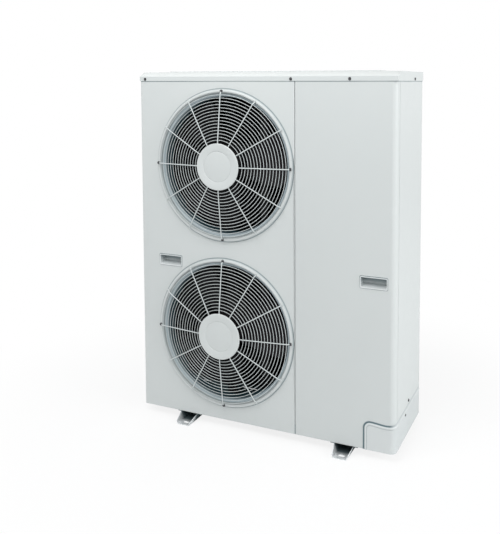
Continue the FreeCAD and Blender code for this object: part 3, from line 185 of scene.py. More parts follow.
# %% [markdown]
# ## The floor
#
# The chiller stands on a plain pale floor that takes a faint shadow near the feet. Further out the floor
# turns into the same white as the background, so no horizon shows. Under the middle of the cabinet the floor
# keeps its full shade, or it would shine up through the drain slots of the pan.

# %% Floor
floor_reach = 14.0
corners = [(x * floor_reach, y * floor_reach, 0) for x, y in ((-1, -1), (1, -1), (1, 1), (-1, 1))]
floor_mesh = bpy.data.meshes.new("floor")
floor_mesh.from_pydata(corners, [], [(0, 1, 2, 3)])
floor = bpy.data.objects.new("floor", floor_mesh)
bpy.context.scene.collection.objects.link(floor)
floor_finish = bpy.data.materials.new("floor_white")
tree = emptied(floor_finish)
place_of = add(tree, "ShaderNodeTexCoord")
distance = add(tree, "ShaderNodeVectorMath", {0: place_of.outputs["Object"]}, operation="LENGTH")
fade = ranged(tree, distance.outputs["Value"], "SMOOTHSTEP", from_min=0.6, from_max=1.5, to_min=0.83)
apart = add(tree, "ShaderNodeSeparateXYZ", {0: place_of.outputs["Object"]})


def beside_pan(axis, shade_centre, inner, outer):
    """From 0 under the pan to 1 beside it, along one axis."""
    from_centre = math_of(tree, "SUBTRACT", apart.outputs[axis], shade_centre)
    return ranged(tree, math_of(tree, "ABSOLUTE", from_centre), from_min=inner, from_max=outer)


clear_of_pan = math_of(tree, "MAXIMUM", beside_pan("X", 0.0, 0.42, 0.48), beside_pan("Y", 0.04, 0.10, 0.15))
lit = math_of(tree, "MULTIPLY", fade, clear_of_pan)
path = add(tree, "ShaderNodeLightPath")
seen = math_of(tree, "MULTIPLY", lit, path.outputs["Is Camera Ray"])
matt = add(tree, "ShaderNodeBsdfDiffuse", {"Color": (0.88, 0.88, 0.88, 1.0)})
glow = add(tree, "ShaderNodeEmission", {"Color": (1.0, 1.0, 1.0, 1.0)})
mix = add(tree, "ShaderNodeMixShader", {"Fac": seen, 1: matt, 2: glow})
add(tree, "ShaderNodeOutputMaterial", {"Surface": mix})
floor_mesh.materials.append(floor_finish)
print("floor:", 2 * floor_reach, "m wide")

# %% [markdown]
# ## Finishes that several pieces share
#
# Powder coat is a skin of melted paint grains. Close up it is never flat: it has a fine wavy texture, called
# orange peel, its tone drifts a little over a large sheet, and dust settles on what faces up. Moulded plastic
# has a finer grain, zinc-coated sheet shows its crystals, and drawn metal keeps fine lines from the die. Each
# of these is a node group with named inputs, built once here and used by many materials.
#
# Narrow joints and deep pockets get hardly any light. All four groups paint that shade into the colour, by a
# number called crevice, which a mesh carries on its points.

# %% Skin group helpers
VECTOR, FLOAT, COLOUR = "NodeSocketVector", "NodeSocketFloat", "NodeSocketColor"
crevice_shade_tone = (0.025, 0.060, 0.072, 1)


def skin_group(name, inputs):
    """A shader group for a surface, with named inputs, and the sockets that give them inside it."""
    group = bpy.data.node_groups.new(name, "ShaderNodeTree")
    shared = [("Vector", VECTOR, (0, 0, 0)), ("Crevice", FLOAT, 0.0),
              ("Crevice Colour", COLOUR, crevice_shade_tone)]
    for label, kind, value in shared + inputs:
        group.interface.new_socket(label, in_out="INPUT", socket_type=kind).default_value = value
    for label, kind in (("Colour", COLOUR), ("Roughness", FLOAT), ("Height", FLOAT)):
        group.interface.new_socket(label, in_out="OUTPUT", socket_type=kind)
    return group, group.nodes.new("NodeGroupInput").outputs


def tinted(group, share, colour, other):
    """Mix two colours by share."""
    node = add(group, "ShaderNodeMix", {0: share, 6: colour, 7: other}, data_type="RGBA")
    return node.outputs[2]


def noise(group, vector, scale, detail, **others):
    """Cloudy noise. others are the texture's own inputs Roughness and Distortion."""
    return add(group, "ShaderNodeTexNoise", dict(others, Vector=vector, Scale=scale, Detail=detail))


def close_skin(group, given, shade, colour, gloss, height):
    """Darken the colour where shade says so, and end the group."""
    shaded = tinted(group, shade, colour, given["Crevice Colour"])
    add(group, "NodeGroupOutput", {"Colour": shaded, "Roughness": gloss, "Height": height})
    print(group.name + ":", len(group.nodes), "nodes")


# %% Powder coat group
powder, given = skin_group("powder coat", [
    ("Up", VECTOR, (0, 0, 0)), ("Colour", COLOUR, (0.6, 0.6, 0.6, 1)), ("Drift", FLOAT, 0.04),
    ("Peel Size", FLOAT, 420.0), ("Dust", FLOAT, 0.2), ("Smooth", FLOAT, 0.4), ("Rough", FLOAT, 0.5),
    ("Lid Edge", FLOAT, 9.0), ("Gap", FLOAT, 0.004)])
drift_tone = (0.28, 0.33, 0.35, 1)
dust_tone = (0.52, 0.50, 0.46, 1)
peel = noise(powder, given["Vector"], given["Peel Size"], 2.0, Roughness=0.45)
broad = noise(powder, given["Vector"], 2.3, 3.0)
blotch = noise(powder, given["Vector"], 31.0, 4.0)
darker = tinted(powder, given["Drift"], given["Colour"], drift_tone)
toned = tinted(powder, broad, given["Colour"], darker)
facing = add(powder, "ShaderNodeSeparateXYZ", {0: given["Up"]})
lying = ranged(powder, facing.outputs["Z"], from_min=0.35, from_max=1.0)
patchy = math_of(powder, "MULTIPLY", lying, blotch)
dusty = math_of(powder, "MULTIPLY", patchy, given["Dust"])
settled_dust = tinted(powder, dusty, toned, dust_tone)
# Painted shadow: a thin dark band on the sheets just under the lid's edge, where the lid's rim shades them,
# darker in some places than others.
place_on = add(powder, "ShaderNodeSeparateXYZ", {0: given["Vector"]})
lid_shadow_bottom = math_of(powder, "SUBTRACT", given["Lid Edge"], given["Gap"])
near_lid = ranged(powder, place_on.outputs["Z"], from_min=lid_shadow_bottom, from_max=given["Lid Edge"])
below_lid = math_of(powder, "LESS_THAN", place_on.outputs["Z"], given["Lid Edge"])
in_lid_shadow = math_of(powder, "MULTIPLY", near_lid, below_lid)
uneven = ranged(powder, broad, from_min=0.3, from_max=0.6, to_min=0.45, to_max=1.0)
lid_shadow = math_of(powder, "MULTIPLY", in_lid_shadow, uneven)
shade = math_of(powder, "MAXIMUM", lid_shadow, given["Crevice"])
gloss = ranged(powder, blotch, from_min=0.3, from_max=0.7, to_min=given["Smooth"], to_max=given["Rough"])
close_skin(powder, given, shade, settled_dust, gloss, peel)

# %% Moulded grain group
grain, given = skin_group("moulded grain", [
    ("Colour", COLOUR, (0.5, 0.5, 0.5, 1)), ("Other Colour", COLOUR, (0.4, 0.4, 0.4, 1)),
    ("Grain Size", FLOAT, 900.0), ("Smooth", FLOAT, 0.5), ("Rough", FLOAT, 0.65)])
fine = noise(grain, given["Vector"], given["Grain Size"], 3.0, Roughness=0.6)
flow = noise(grain, given["Vector"], 9.0, 3.0, Distortion=0.6)
moulded = tinted(grain, flow, given["Colour"], given["Other Colour"])
gloss = ranged(grain, flow, to_min=given["Smooth"], to_max=given["Rough"])
close_skin(grain, given, given["Crevice"], moulded, gloss, fine)

# %% Zinc crystal group
zinc, given = skin_group("zinc crystals", [
    ("Colour", COLOUR, (0.7, 0.7, 0.7, 1)), ("Other Colour", COLOUR, (0.5, 0.5, 0.5, 1)),
    ("Crystal Size", FLOAT, 110.0), ("Smooth", FLOAT, 0.3), ("Rough", FLOAT, 0.5)])
cells = add(zinc, "ShaderNodeTexVoronoi", {"Vector": given["Vector"], "Scale": given["Crystal Size"]})
per_cell = add(zinc, "ShaderNodeSeparateColor", {0: cells.outputs["Color"]})
cloud = noise(zinc, given["Vector"], 14.0, 5.0)
both = math_of(zinc, "MULTIPLY", per_cell.outputs["Red"], cloud)
crystals = tinted(zinc, both, given["Colour"], given["Other Colour"])
gloss = ranged(zinc, per_cell.outputs["Green"], to_min=given["Smooth"], to_max=given["Rough"])
close_skin(zinc, given, given["Crevice"], crystals, gloss, cloud)

# %% Drawn metal group
drawn, given = skin_group("drawn metal", [
    ("Stretch", VECTOR, (1, 1, 1)), ("Colour", COLOUR, (0.7, 0.7, 0.7, 1)),
    ("Other Colour", COLOUR, (0.5, 0.5, 0.5, 1)), ("Line Size", FLOAT, 60.0), ("Smooth", FLOAT, 0.25),
    ("Rough", FLOAT, 0.45)])
pulled = add(drawn, "ShaderNodeVectorMath", {0: given["Vector"], 1: given["Stretch"]}, operation="MULTIPLY")
lines = noise(drawn, pulled, given["Line Size"], 5.0, Roughness=0.65)
tarnish = noise(drawn, given["Vector"], 17.0, 4.0)
metal = tinted(drawn, tarnish, given["Colour"], given["Other Colour"])
gloss = ranged(drawn, lines, to_min=given["Smooth"], to_max=given["Rough"])
close_skin(drawn, given, given["Crevice"], metal, gloss, lines)

# %% [markdown]
# ## A material for each finish
#
# Every material is one Principled shader. What is the same all over a surface, such as whether it is metal,
# is set on the shader itself. What changes from place to place comes from one of the groups. The bump
# distance is the real depth of the texture, a few hundredths of a millimetre.

# %% Material maker
materials = {}


def finish(slot_name, group, bump, constants=(), **values):
    """A material whose colour, gloss and bump come from a shared group. bump is the texture's depth and
    strength, constants are the shader's own inputs, and values are the group's.
    """
    material = bpy.data.materials.new(slot_name)
    tree = emptied(material)
    place = add(tree, "ShaderNodeTexCoord")
    shade_on_mesh = add(tree, "ShaderNodeAttribute", attribute_name="crevice")
    skin = add(tree, "ShaderNodeGroup", {"Vector": place.outputs["Object"],
                                         "Crevice": shade_on_mesh.outputs["Fac"]}, node_tree=group)
    if "Up" in skin.inputs:
        tree.links.new(place.outputs["Normal"], skin.inputs["Up"])
    for label, value in values.items():
        socket = skin.inputs[label.replace("_", " ").title()]
        socket.default_value = (*value, 1.0) if socket.type == "RGBA" else value
    depth, strength = bump
    texture = add(tree, "ShaderNodeBump", {"Height": skin.outputs["Height"], "Strength": strength,
                                           "Distance": depth})
    shader = add(tree, "ShaderNodeBsdfPrincipled", {"Base Color": skin.outputs["Colour"],
                                                    "Roughness": skin.outputs["Roughness"],
                                                    "Normal": texture.outputs["Normal"]})
    for label, value in dict(constants).items():
        shader.inputs[label].default_value = value
    add(tree, "ShaderNodeOutputMaterial", {"Surface": shader})
    materials[slot_name] = material


print("groups to choose from:", [group.name for group in (powder, grain, zinc, drawn)])

# %% Painted finishes
# The blue tone of the painted shade in the joints and pockets of the cabinet and its plastic covers.
shade_blue = (0.012, 0.070, 0.092)
finish("cabinet_paint", powder, (0.00006, 0.5), colour=(0.635, 0.665, 0.660), drift=0.10, peel_size=420.0,
       dust=0.25, smooth=0.38, rough=0.46, lid_edge=roof, crevice_colour=shade_blue)
finish("guard_wire", powder, (0.00003, 0.4), colour=(0.60, 0.64, 0.64), drift=0.05, peel_size=700.0,
       dust=0.15, smooth=0.28, rough=0.38)
finish("cap_paint", powder, (0.00005, 0.5), colour=(0.62, 0.65, 0.645), drift=0.06, peel_size=420.0,
       dust=0.2, smooth=0.34, rough=0.42)
finish("motor_paint", powder, (0.00005, 0.5), {"Specular IOR Level": 0.25}, colour=(0.012, 0.012, 0.013),
       drift=0.01, peel_size=500.0, dust=0.05, smooth=0.4, rough=0.55)
finish("vessel_paint", powder, (0.00005, 0.4), colour=(0.42, 0.03, 0.02), drift=0.12, peel_size=350.0,
       dust=0.3, smooth=0.2, rough=0.3)
finish("lever_paint", powder, (0.00003, 0.4), colour=(0.48, 0.04, 0.03), drift=0.1, peel_size=700.0,
       dust=0.1, smooth=0.22, rough=0.32)
finish("pump_iron", powder, (0.0002, 0.6), colour=(0.10, 0.11, 0.12), drift=0.2, peel_size=260.0,
       dust=0.3, smooth=0.45, rough=0.6)
print("painted:", len(materials))

# %% Moulded finishes
finish("cover_plastic", grain, (0.00005, 0.5), colour=(0.66, 0.69, 0.69), other_colour=(0.62, 0.65, 0.65),
       grain_size=900.0, smooth=0.42, rough=0.52, crevice_colour=shade_blue)
finish("bellmouth_plastic", grain, (0.00005, 0.4), colour=(0.50, 0.58, 0.61), other_colour=(0.45, 0.53, 0.57),
       grain_size=700.0, smooth=0.38, rough=0.5, crevice_colour=(0.010, 0.040, 0.052))
finish("fan_plastic", grain, (0.00006, 0.5), {"Specular IOR Level": 0.12}, colour=(0.006, 0.006, 0.007),
       other_colour=(0.010, 0.010, 0.011), grain_size=600.0, smooth=0.5, rough=0.65)
finish("black_plastic", grain, (0.00005, 0.5), colour=(0.018, 0.018, 0.018), other_colour=(0.03, 0.03, 0.032),
       grain_size=900.0, smooth=0.4, rough=0.55)
finish("black_rubber", grain, (0.00008, 0.5), colour=(0.015, 0.015, 0.015), other_colour=(0.03, 0.03, 0.03),
       grain_size=500.0, smooth=0.65, rough=0.85)
print("painted and moulded:", len(materials))

# %% Metal finishes
finish("galvanised_steel", zinc, (0.00003, 0.3), {"Metallic": 0.6}, colour=(0.84, 0.86, 0.87),
       other_colour=(0.60, 0.62, 0.64), crystal_size=110.0, smooth=0.3, rough=0.48)
finish("shaft_steel", drawn, (0.00001, 0.3), {"Metallic": 1.0}, colour=(0.42, 0.42, 0.43),
       other_colour=(0.3, 0.3, 0.3), stretch=(1, 0.05, 1), line_size=900.0)
finish("screw_zinc", drawn, (0.00001, 0.3), {"Metallic": 0.8}, colour=(0.06, 0.06, 0.065),
       other_colour=(0.1, 0.1, 0.105), line_size=900.0, smooth=0.35, rough=0.5)
finish("coil_fins", drawn, (0.00002, 0.3), {"Metallic": 0.7}, colour=(0.32, 0.34, 0.35),
       other_colour=(0.20, 0.21, 0.22), stretch=(1, 1, 0.04), line_size=300.0, smooth=0.4, rough=0.6,
       crevice_colour=(0.004, 0.005, 0.006))
finish("copper_tube", drawn, (0.00002, 0.3), {"Metallic": 1.0}, colour=(0.62, 0.28, 0.16),
       other_colour=(0.42, 0.18, 0.1), line_size=90.0, smooth=0.25, rough=0.45)
finish("valve_brass", drawn, (0.00002, 0.3), {"Metallic": 1.0}, colour=(0.66, 0.48, 0.2),
       other_colour=(0.5, 0.35, 0.14), line_size=200.0)
finish("water_steel", drawn, (0.00002, 0.3), {"Metallic": 1.0}, colour=(0.56, 0.56, 0.55),
       other_colour=(0.44, 0.44, 0.43), line_size=240.0)
for part in frame["nodes"].values():
    part.data.materials.clear()
    part.data.materials.append(materials[slot_of[part.name]])
print("finishes:", len(materials), "on", len(frame["nodes"]), "nodes")

# %% [markdown]
# ## From a tree to a plain mesh
#
# What repeats is grown by Geometry Nodes: a small tree says how one piece is made and where the copies go.
# The modifier's inputs are set before the first evaluation, and its result is kept as a plain mesh. `clothe`
# then gives each finished piece its material and the body that it moves with, and hides the CAD node it
# stands for.

# %% Piece helpers
def placed(name, data):
    """An object with this data, in the scene."""
    obj = bpy.data.objects.new(name, data)
    bpy.context.scene.collection.objects.link(obj)
    return obj


def clothe(obj, node):
    """Give a piece the material and the body of the CAD node that it stands for, and hide that node."""
    slot_name = slot_of[node]
    obj.data.materials.clear()
    obj.data.materials.append(materials[slot_name])
    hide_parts(node)
    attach(obj, body_of[node])
    print(obj.name, len(obj.data.polygons), "faces")


def dress(obj, node, smooth_angle=40.0):
    """Smooth a piece over edges that turn by less than smooth_angle, and clothe it."""
    obj.data.shade_smooth()
    obj.data.set_sharp_from_angle(angle=math.radians(smooth_angle))
    clothe(obj, node)


def settled(obj):
    """Turn an object's modifiers into its own mesh."""
    depsgraph = bpy.context.evaluated_depsgraph_get()
    mesh = bpy.data.meshes.new_from_object(obj.evaluated_get(depsgraph), depsgraph=depsgraph)
    obj.modifiers.clear()
    obj.data = mesh
    return obj


def growing_tree(name, inputs):
    """A geometry tree with named inputs, and the sockets that give them and the object's own mesh."""
    tree = bpy.data.node_groups.new(name, "GeometryNodeTree")
    tree.interface.new_socket("Geometry", in_out="INPUT", socket_type="NodeSocketGeometry")
    for label, kind, value in inputs:
        tree.interface.new_socket(label, in_out="INPUT", socket_type=kind).default_value = value
    tree.interface.new_socket("Finish", in_out="INPUT", socket_type="NodeSocketMaterial")
    tree.interface.new_socket("Geometry", in_out="OUTPUT", socket_type="NodeSocketGeometry")
    return tree, tree.nodes.new("NodeGroupInput").outputs


def finish_tree(tree, given, geometry):
    """End a tree: real geometry in place of instances, then the material."""
    real = add(tree, "GeometryNodeRealizeInstances", {"Geometry": geometry})
    painted = add(tree, "GeometryNodeSetMaterial", {"Geometry": real, "Material": given["Finish"]})
    add(tree, "NodeGroupOutput", {"Geometry": painted})
    print(tree.name, "tree:", len(tree.nodes), "nodes")


def grown(name, mesh, tree, values, node, smooth_angle=40.0):
    """Grow a piece from mesh with a tree, keep the result as a plain mesh, and dress it."""
    obj = placed(name, mesh)
    modifier = obj.modifiers.new("grow", "NODES")
    modifier.node_group = tree
    values = dict(values, Finish=materials[slot_of[node]])
    for item in tree.interface.items_tree:
        if item.item_type == "SOCKET" and item.in_out == "INPUT" and item.name in values:
            modifier[item.identifier] = values[item.name]
    dress(settled(obj), node, smooth_angle)


def path_mesh(name, points):
    """A mesh of one open line through points."""
    mesh = bpy.data.meshes.new(name)
    mesh.from_pydata(points, [(i, i + 1) for i in range(len(points) - 1)], [])
    return mesh


print("piece helpers ready")

# %% [markdown]
# ## The fan guards
#
# A guard is welded from round wire: fifteen rings lie behind twelve spokes. The spokes are flat behind the
# cap, run out along a shallow cone, bend down at the rim and stand on the pressed collar. Rings and spokes
# follow a rule, so a tree suits them. Each ring is a circle that takes its size and depth from its number.
# One bent spoke is drawn as a line, its corners are rounded as the wire bender does, and it is copied round
# the axis.

# %% Guard tree
WHOLE = "NodeSocketInt"
wire_sides = 8
ring_sides = 96
flat_radius, rim_radius = 0.092, 0.2614
rim_depth = 0.021
spoke_wire = 0.0019


def wired(tree, curve, radius):
    """Give a curve a round section with closed ends."""
    section = add(tree, "GeometryNodeCurvePrimitiveCircle", {"Resolution": wire_sides, "Radius": radius})
    return add(tree, "GeometryNodeCurveToMesh", {"Curve": curve, "Profile Curve": section, "Fill Caps": True})


guard_tree, given = growing_tree("wire guard", [
    ("Centre", VECTOR, (0, 0, 0)), ("Rings", WHOLE, 15), ("First Radius", FLOAT, 0.095),
    ("Ring Pitch", FLOAT, 0.0115), ("Flat Radius", FLOAT, flat_radius), ("Rim Radius", FLOAT, rim_radius),
    ("Rim Depth", FLOAT, rim_depth), ("Ring Wire", FLOAT, 0.0010), ("Spokes", WHOLE, 12),
    ("Spoke Wire", FLOAT, spoke_wire), ("Bend", FLOAT, 0.009)])
number = add(guard_tree, "GeometryNodeInputIndex")
radius = math_of(guard_tree, "MULTIPLY_ADD", number, given["Ring Pitch"], given["First Radius"])
depth = ranged(guard_tree, radius, from_min=given["Flat Radius"], from_max=given["Rim Radius"],
               to_max=given["Rim Depth"])
behind = math_of(guard_tree, "ADD", depth, given["Ring Wire"])
offset = add(guard_tree, "ShaderNodeCombineXYZ", {"Y": behind})
seat = add(guard_tree, "ShaderNodeVectorMath", {0: offset, 1: given["Centre"]}, operation="ADD")
dots = add(guard_tree, "GeometryNodePoints", {"Count": given["Rings"], "Position": seat})
circle = add(guard_tree, "GeometryNodeCurvePrimitiveCircle", {"Resolution": ring_sides, "Radius": 1.0})
rings = add(guard_tree, "GeometryNodeInstanceOnPoints", {"Points": dots, "Instance": circle, "Scale": radius,
                                                         "Rotation": (math.pi / 2, 0, 0)})
ring_curves = add(guard_tree, "GeometryNodeRealizeInstances", {"Geometry": rings})
spoke = add(guard_tree, "GeometryNodeMeshToCurve", {"Mesh": given["Geometry"]})
bent = add(guard_tree, "GeometryNodeFilletCurve", {"Curve": spoke, "Radius": given["Bend"], "Count": 4,
                                                   "Limit Radius": True}, mode="POLY")
hub = add(guard_tree, "GeometryNodePoints", {"Count": given["Spokes"], "Position": given["Centre"]})
step = math_of(guard_tree, "DIVIDE", 2 * math.pi, given["Spokes"])
turn = math_of(guard_tree, "MULTIPLY", number, step)
rotation = add(guard_tree, "ShaderNodeCombineXYZ", {"Y": turn})
spokes = add(guard_tree, "GeometryNodeInstanceOnPoints", {"Points": hub, "Instance": bent,
                                                          "Rotation": rotation})
spoke_curves = add(guard_tree, "GeometryNodeRealizeInstances", {"Geometry": spokes})
ring_wires = wired(guard_tree, ring_curves, given["Ring Wire"])
spoke_wires = wired(guard_tree, spoke_curves, given["Spoke Wire"])
joined = add(guard_tree, "GeometryNodeJoinGeometry", {0: [ring_wires, spoke_wires]})
finish_tree(guard_tree, given, joined)

# %% Grow both guards
guard_plane = front - 0.037
collar_crest = front - 0.009
foot_depth = collar_crest - guard_plane - spoke_wire
spoke_line = [(0.016, -spoke_wire, 0), (flat_radius, -spoke_wire, 0), (rim_radius, rim_depth - spoke_wire, 0),
              (0.2660, foot_depth, 0), (0.2745, foot_depth, 0)]
for place, centre in fan_centres.items():
    grown(place + "_wire_guard", path_mesh("spoke", spoke_line), guard_tree,
          {"Centre": (centre.x, guard_plane, centre.z)}, place + "_fan_guard")

# %% [markdown]
# ## Turned and moulded round pieces
#
# The cap, the bellmouth and the fan's hub are round, so each is a profile that is turned about the fan's
# axis. A profile is a list of radii with their depths. Points that lie close together make a small rounding.

# %% Turning a profile
touching = 1e-6


def around(centre, radius, angle):
    """The x and z of a place round the line through centre along Y."""
    return centre.x + radius * math.cos(angle), centre.z + radius * math.sin(angle)


def bridged(bm, near, far, closed=True):
    """Faces between two rows of vertices, round the whole loop where it is closed."""
    count = len(near)
    for i in range(count if closed else count - 1):
        j = (i + 1) % count
        bm.faces.new((near[i], near[j], far[j], far[i]))


def turned(bm, profile, centre, segments, closed=False):
    """Turn a profile of (radius, y) pairs about the line through centre along Y."""
    rows = []
    for radius_at, y in profile:
        row = []
        for i in range(segments):
            angle = 2 * math.pi * i / segments
            x, z = around(centre, radius_at(angle) if callable(radius_at) else radius_at, angle)
            row.append(bm.verts.new((x, y, z)))
        rows.append(row)
    for near, far in list(zip(rows, rows[1:])) + ([(rows[-1], rows[0])] if closed else []):
        bridged(bm, near, far)
    return rows


def shade_rows(rows, layer, shades):
    """Note how dark the crevice is along each row of a turned piece."""
    for row, shade_at in zip(rows, shades):
        for vertex in row:
            vertex[layer] = shade_at


def mesh_of(bm, name):
    """Close the seams of a built shape, turn its faces outwards, and make it a mesh."""
    bmesh.ops.remove_doubles(bm, verts=bm.verts, dist=touching)
    bmesh.ops.recalc_face_normals(bm, faces=bm.faces)
    mesh = bpy.data.meshes.new(name)
    bm.to_mesh(mesh)
    bm.free()
    return mesh


print("turning helpers ready")

# %% Guard caps
cap_radius = 0.084
pole = 0.0005
ring_segments = 96
for place, centre in fan_centres.items():
    low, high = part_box(place + "_guard_cap")
    back, face = high.y, low.y
    profile = [(pole, back), (cap_radius - 0.0012, back), (cap_radius, back - 0.0012),
               (cap_radius, face + 0.0022), (cap_radius - 0.0007, face + 0.0008), (cap_radius - 0.0022, face),
               (0.0575, face), (0.0565, face + 0.0004), (0.0558, face + 0.0012), (0.0546, face + 0.0013),
               (0.0538, face + 0.0008), (0.0526, face + 0.0006), (pole, face + 0.0006)]
    bm = bmesh.new()
    rows = turned(bm, profile, centre, ring_segments)
    bm.faces.new(rows[0])
    bm.faces.new(rows[-1])
    dress(placed(place + "_round_cap", mesh_of(bm, "cap")), place + "_guard_cap", 25)
print("caps:", cap_radius * 2, "m across")

# %% Bellmouths
throat_radius = 0.2480
wall = 0.002
# Painted shade on the air ring: a faint line at the edge of its plate, then darker and darker as it curves
# into the throat; its back gets a little.
throat_shades = [0, 0.3, 0.12, 0.1, 0.4, 0.85, 0.97, 1.0, 1.0] + [0.3] * 6
for place, centre in fan_centres.items():
    low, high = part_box(place + "_bellmouth")
    half_plate = (high.x - low.x) / 2
    flange = low.y

    def plate_edge(angle):
        """Half the plate's width in a direction: the plate has eight sides."""
        eighth = math.pi / 4
        return half_plate / math.cos((angle + eighth / 2) % eighth - eighth / 2)

    profile = [(plate_edge, flange), (0.2595, flange), (0.2572, flange + 0.001), (0.2535, flange + 0.0042),
               (0.2502, flange + 0.0088), (0.2484, flange + 0.0150), (throat_radius, flange + 0.0200),
               (throat_radius, high.y), (throat_radius + wall, high.y),
               (throat_radius + wall, flange + 0.0210), (0.2506, flange + 0.0150), (0.2524, flange + 0.0095),
               (0.2552, flange + 0.0056), (0.2590, flange + wall), (plate_edge, flange + wall)]
    bm = bmesh.new()
    layer = bm.verts.layers.float.new("crevice")
    shade_rows(turned(bm, profile, centre, ring_segments, closed=True), layer, throat_shades)
    dress(placed(place + "_air_ring", mesh_of(bm, "air_ring")), place + "_bellmouth", 35)
print("bellmouths: throat", 2 * throat_radius, "m")

# %% [markdown]
# ## The fans
#
# Each fan has three wide blades that sweep forward and twist from hub to tip, so that the air leaves at the
# same speed everywhere. A blade is a surface over two numbers: how far out, and how far along the chord. The
# same rule as in the CAD gives every point, with more of them, a rounded nose and a thin rear edge.

# %% Fan builder
hub_radius = 0.058
root_radius, tip_radius = 0.052, 0.241
root_chord, tip_chord = 0.096, 0.236
root_pitch, twist = 40.0, 18.0
blade_crown = 0.014
blade_sweep = 0.034
blade_shift = 0.0015
full_thickness, edge_thickness = 0.0036, 0.0006
rounded_from, tip_cut = 0.86, 0.16
blade_count = 3
out_steps = 14
chord_steps = 20


def blade_point(hub_middle, out, share, skin):
    """The angle, radius and y of a point: out from root to tip, share along the chord, skin 0 or 1."""
    radius_at = root_radius + (tip_radius - root_radius) * out
    chord = root_chord + (tip_chord - root_chord) * out
    rounding = 1.0 - tip_cut * max(0.0, (out - rounded_from) / (1 - rounded_from)) ** 2.2
    pitch = math.radians(root_pitch - twist * out)
    along_chord = (share - 0.5) * chord * rounding
    crown = blade_crown * (1 - 4 * (share - 0.5) ** 2)
    arc_length = along_chord * math.cos(pitch) - crown * math.sin(pitch) + blade_sweep * out
    thickness = full_thickness * math.sqrt(max(0.0, 1 - (2 * share - 1) ** 4)) + edge_thickness
    middle_depth = along_chord * math.sin(pitch) + crown * math.cos(pitch) + blade_shift
    return arc_length / radius_at, radius_at, hub_middle + (middle_depth + (skin - 0.5) * thickness)


def add_blade(bm, centre, hub_middle, turn_angle):
    """Add a closed blade, turned about the fan's axis: two skins, then the faces along their edges."""
    skins = []
    for skin in (0, 1):
        rows = []
        for i in range(out_steps + 1):
            row = []
            for j in range(chord_steps + 1):
                angle, radius_at, y = blade_point(hub_middle, i / out_steps, j / chord_steps, skin)
                x, z = around(centre, radius_at, angle + turn_angle)
                row.append(bm.verts.new((x, y, z)))
            rows.append(row)
        skins.append(rows)
    for rows in skins:
        for i in range(out_steps):
            for j in range(chord_steps):
                bm.faces.new((rows[i][j], rows[i + 1][j], rows[i + 1][j + 1], rows[i][j + 1]))
    front_rows, back_rows = skins
    for i in range(out_steps):
        for j in (0, chord_steps):
            bm.faces.new((front_rows[i][j], front_rows[i + 1][j], back_rows[i + 1][j], back_rows[i][j]))
    for j in range(chord_steps):
        for i in (0, out_steps):
            bm.faces.new((front_rows[i][j], front_rows[i][j + 1], back_rows[i][j + 1], back_rows[i][j]))


print("blade:", out_steps, "steps out,", chord_steps, "along the chord")

# %% Build both fans
bore = 0.00605
hub_segments = 64
hub_length = 0.062
hub_wall = 0.003
for place, centre in fan_centres.items():
    low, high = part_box(place + "_fan_shaft")
    hub_front = low.y + 0.012
    hub_rear = hub_front + hub_length
    bm = bmesh.new()
    hub_profile = [(bore, hub_front), (0.012, hub_front), (0.0135, hub_front + 0.001),
                   (0.048, hub_front + 0.001), (0.0535, hub_front + 0.0025), (0.0568, hub_front + 0.006),
                   (hub_radius, hub_front + 0.011), (hub_radius, hub_rear), (hub_radius - hub_wall, hub_rear),
                   (hub_radius - hub_wall, hub_front + 0.012), (0.016, hub_front + 0.010),
                   (0.014, hub_rear - 0.008), (bore, hub_rear - 0.008)]
    turned(bm, hub_profile, centre, hub_segments, closed=True)
    for blade in range(blade_count):
        add_blade(bm, centre, (hub_front + hub_rear) / 2, -2 * math.pi * blade / blade_count)
    dress(placed(place + "_fan_wheel", mesh_of(bm, "fan_wheel")), place + "_fan", 35)
print("fans:", tip_radius * 2, "m across")

# %% [markdown]
# ## The fan panel
#
# One sheet carries both outlets. The press draws a round collar out of it at each outlet: the metal rises in
# a tight curve, turns over a narrow flat crest and runs back in to the air ring. The sheet is drawn here as a
# flat filled outline with holes. The collars are turned, the bends are swept, and Solidify gives the whole
# sheet its thickness.

# %% Sheet metal helpers
sheet_gauge = 0.0012


def rectangle(x0, x1, z0, z1):
    """A rectangle's corners."""
    return [(x0, z0), (x1, z0), (x1, z1), (x0, z1)]


def grip_opening(node, side_rim, level_rim):
    """The hole in a sheet behind a grip's frame, which covers its edges by these rims."""
    low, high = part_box(node)
    return rectangle(low.x + side_rim, high.x - side_rim, low.z + level_rim, high.z - level_rim)


def add_flat(bm, outline, holes):
    """Fill an outline with holes, from lists of (x, z), in the plane of the cabinet's front."""
    data = bpy.data.curves.new("outline", "CURVE")
    data.dimensions = "2D"
    data.fill_mode = "BOTH"
    for loop in [outline] + holes:
        spline = data.splines.new("POLY")
        spline.points.add(len(loop) - 1)
        for spline_point, (x, z) in zip(spline.points, loop):
            spline_point.co = (x, z, 0, 1)
        spline.use_cyclic_u = True
    carrier = placed("outline", data)
    filled = bpy.data.meshes.new_from_object(carrier)
    bpy.data.objects.remove(carrier)
    vertices = [bm.verts.new((v.co.x, front, v.co.y)) for v in filled.vertices]
    for face in filled.polygons:
        bm.faces.new([vertices[i] for i in face.vertices])


def bend_back(edge_x, side, radius, steps, end_y):
    """Points (x, y) from the front face round a bend, side -1 left or 1 right, and back to end_y."""
    fold = []
    for i in range(steps + 1):
        angle = math.pi / 2 * i / steps
        fold.append((edge_x - side * radius + side * radius * math.sin(angle),
                     front + radius - radius * math.cos(angle)))
    return fold + [(edge_x, end_y)]


def add_fold(bm, fold, low_z, high_z):
    """A strip of the sheet that follows fold, a list of (x, y), from low_z up to high_z."""
    columns = [(bm.verts.new((x, y, low_z)), bm.verts.new((x, y, high_z))) for x, y in fold]
    for (a, b), (c, d) in zip(columns, columns[1:]):
        bm.faces.new((a, c, d, b))


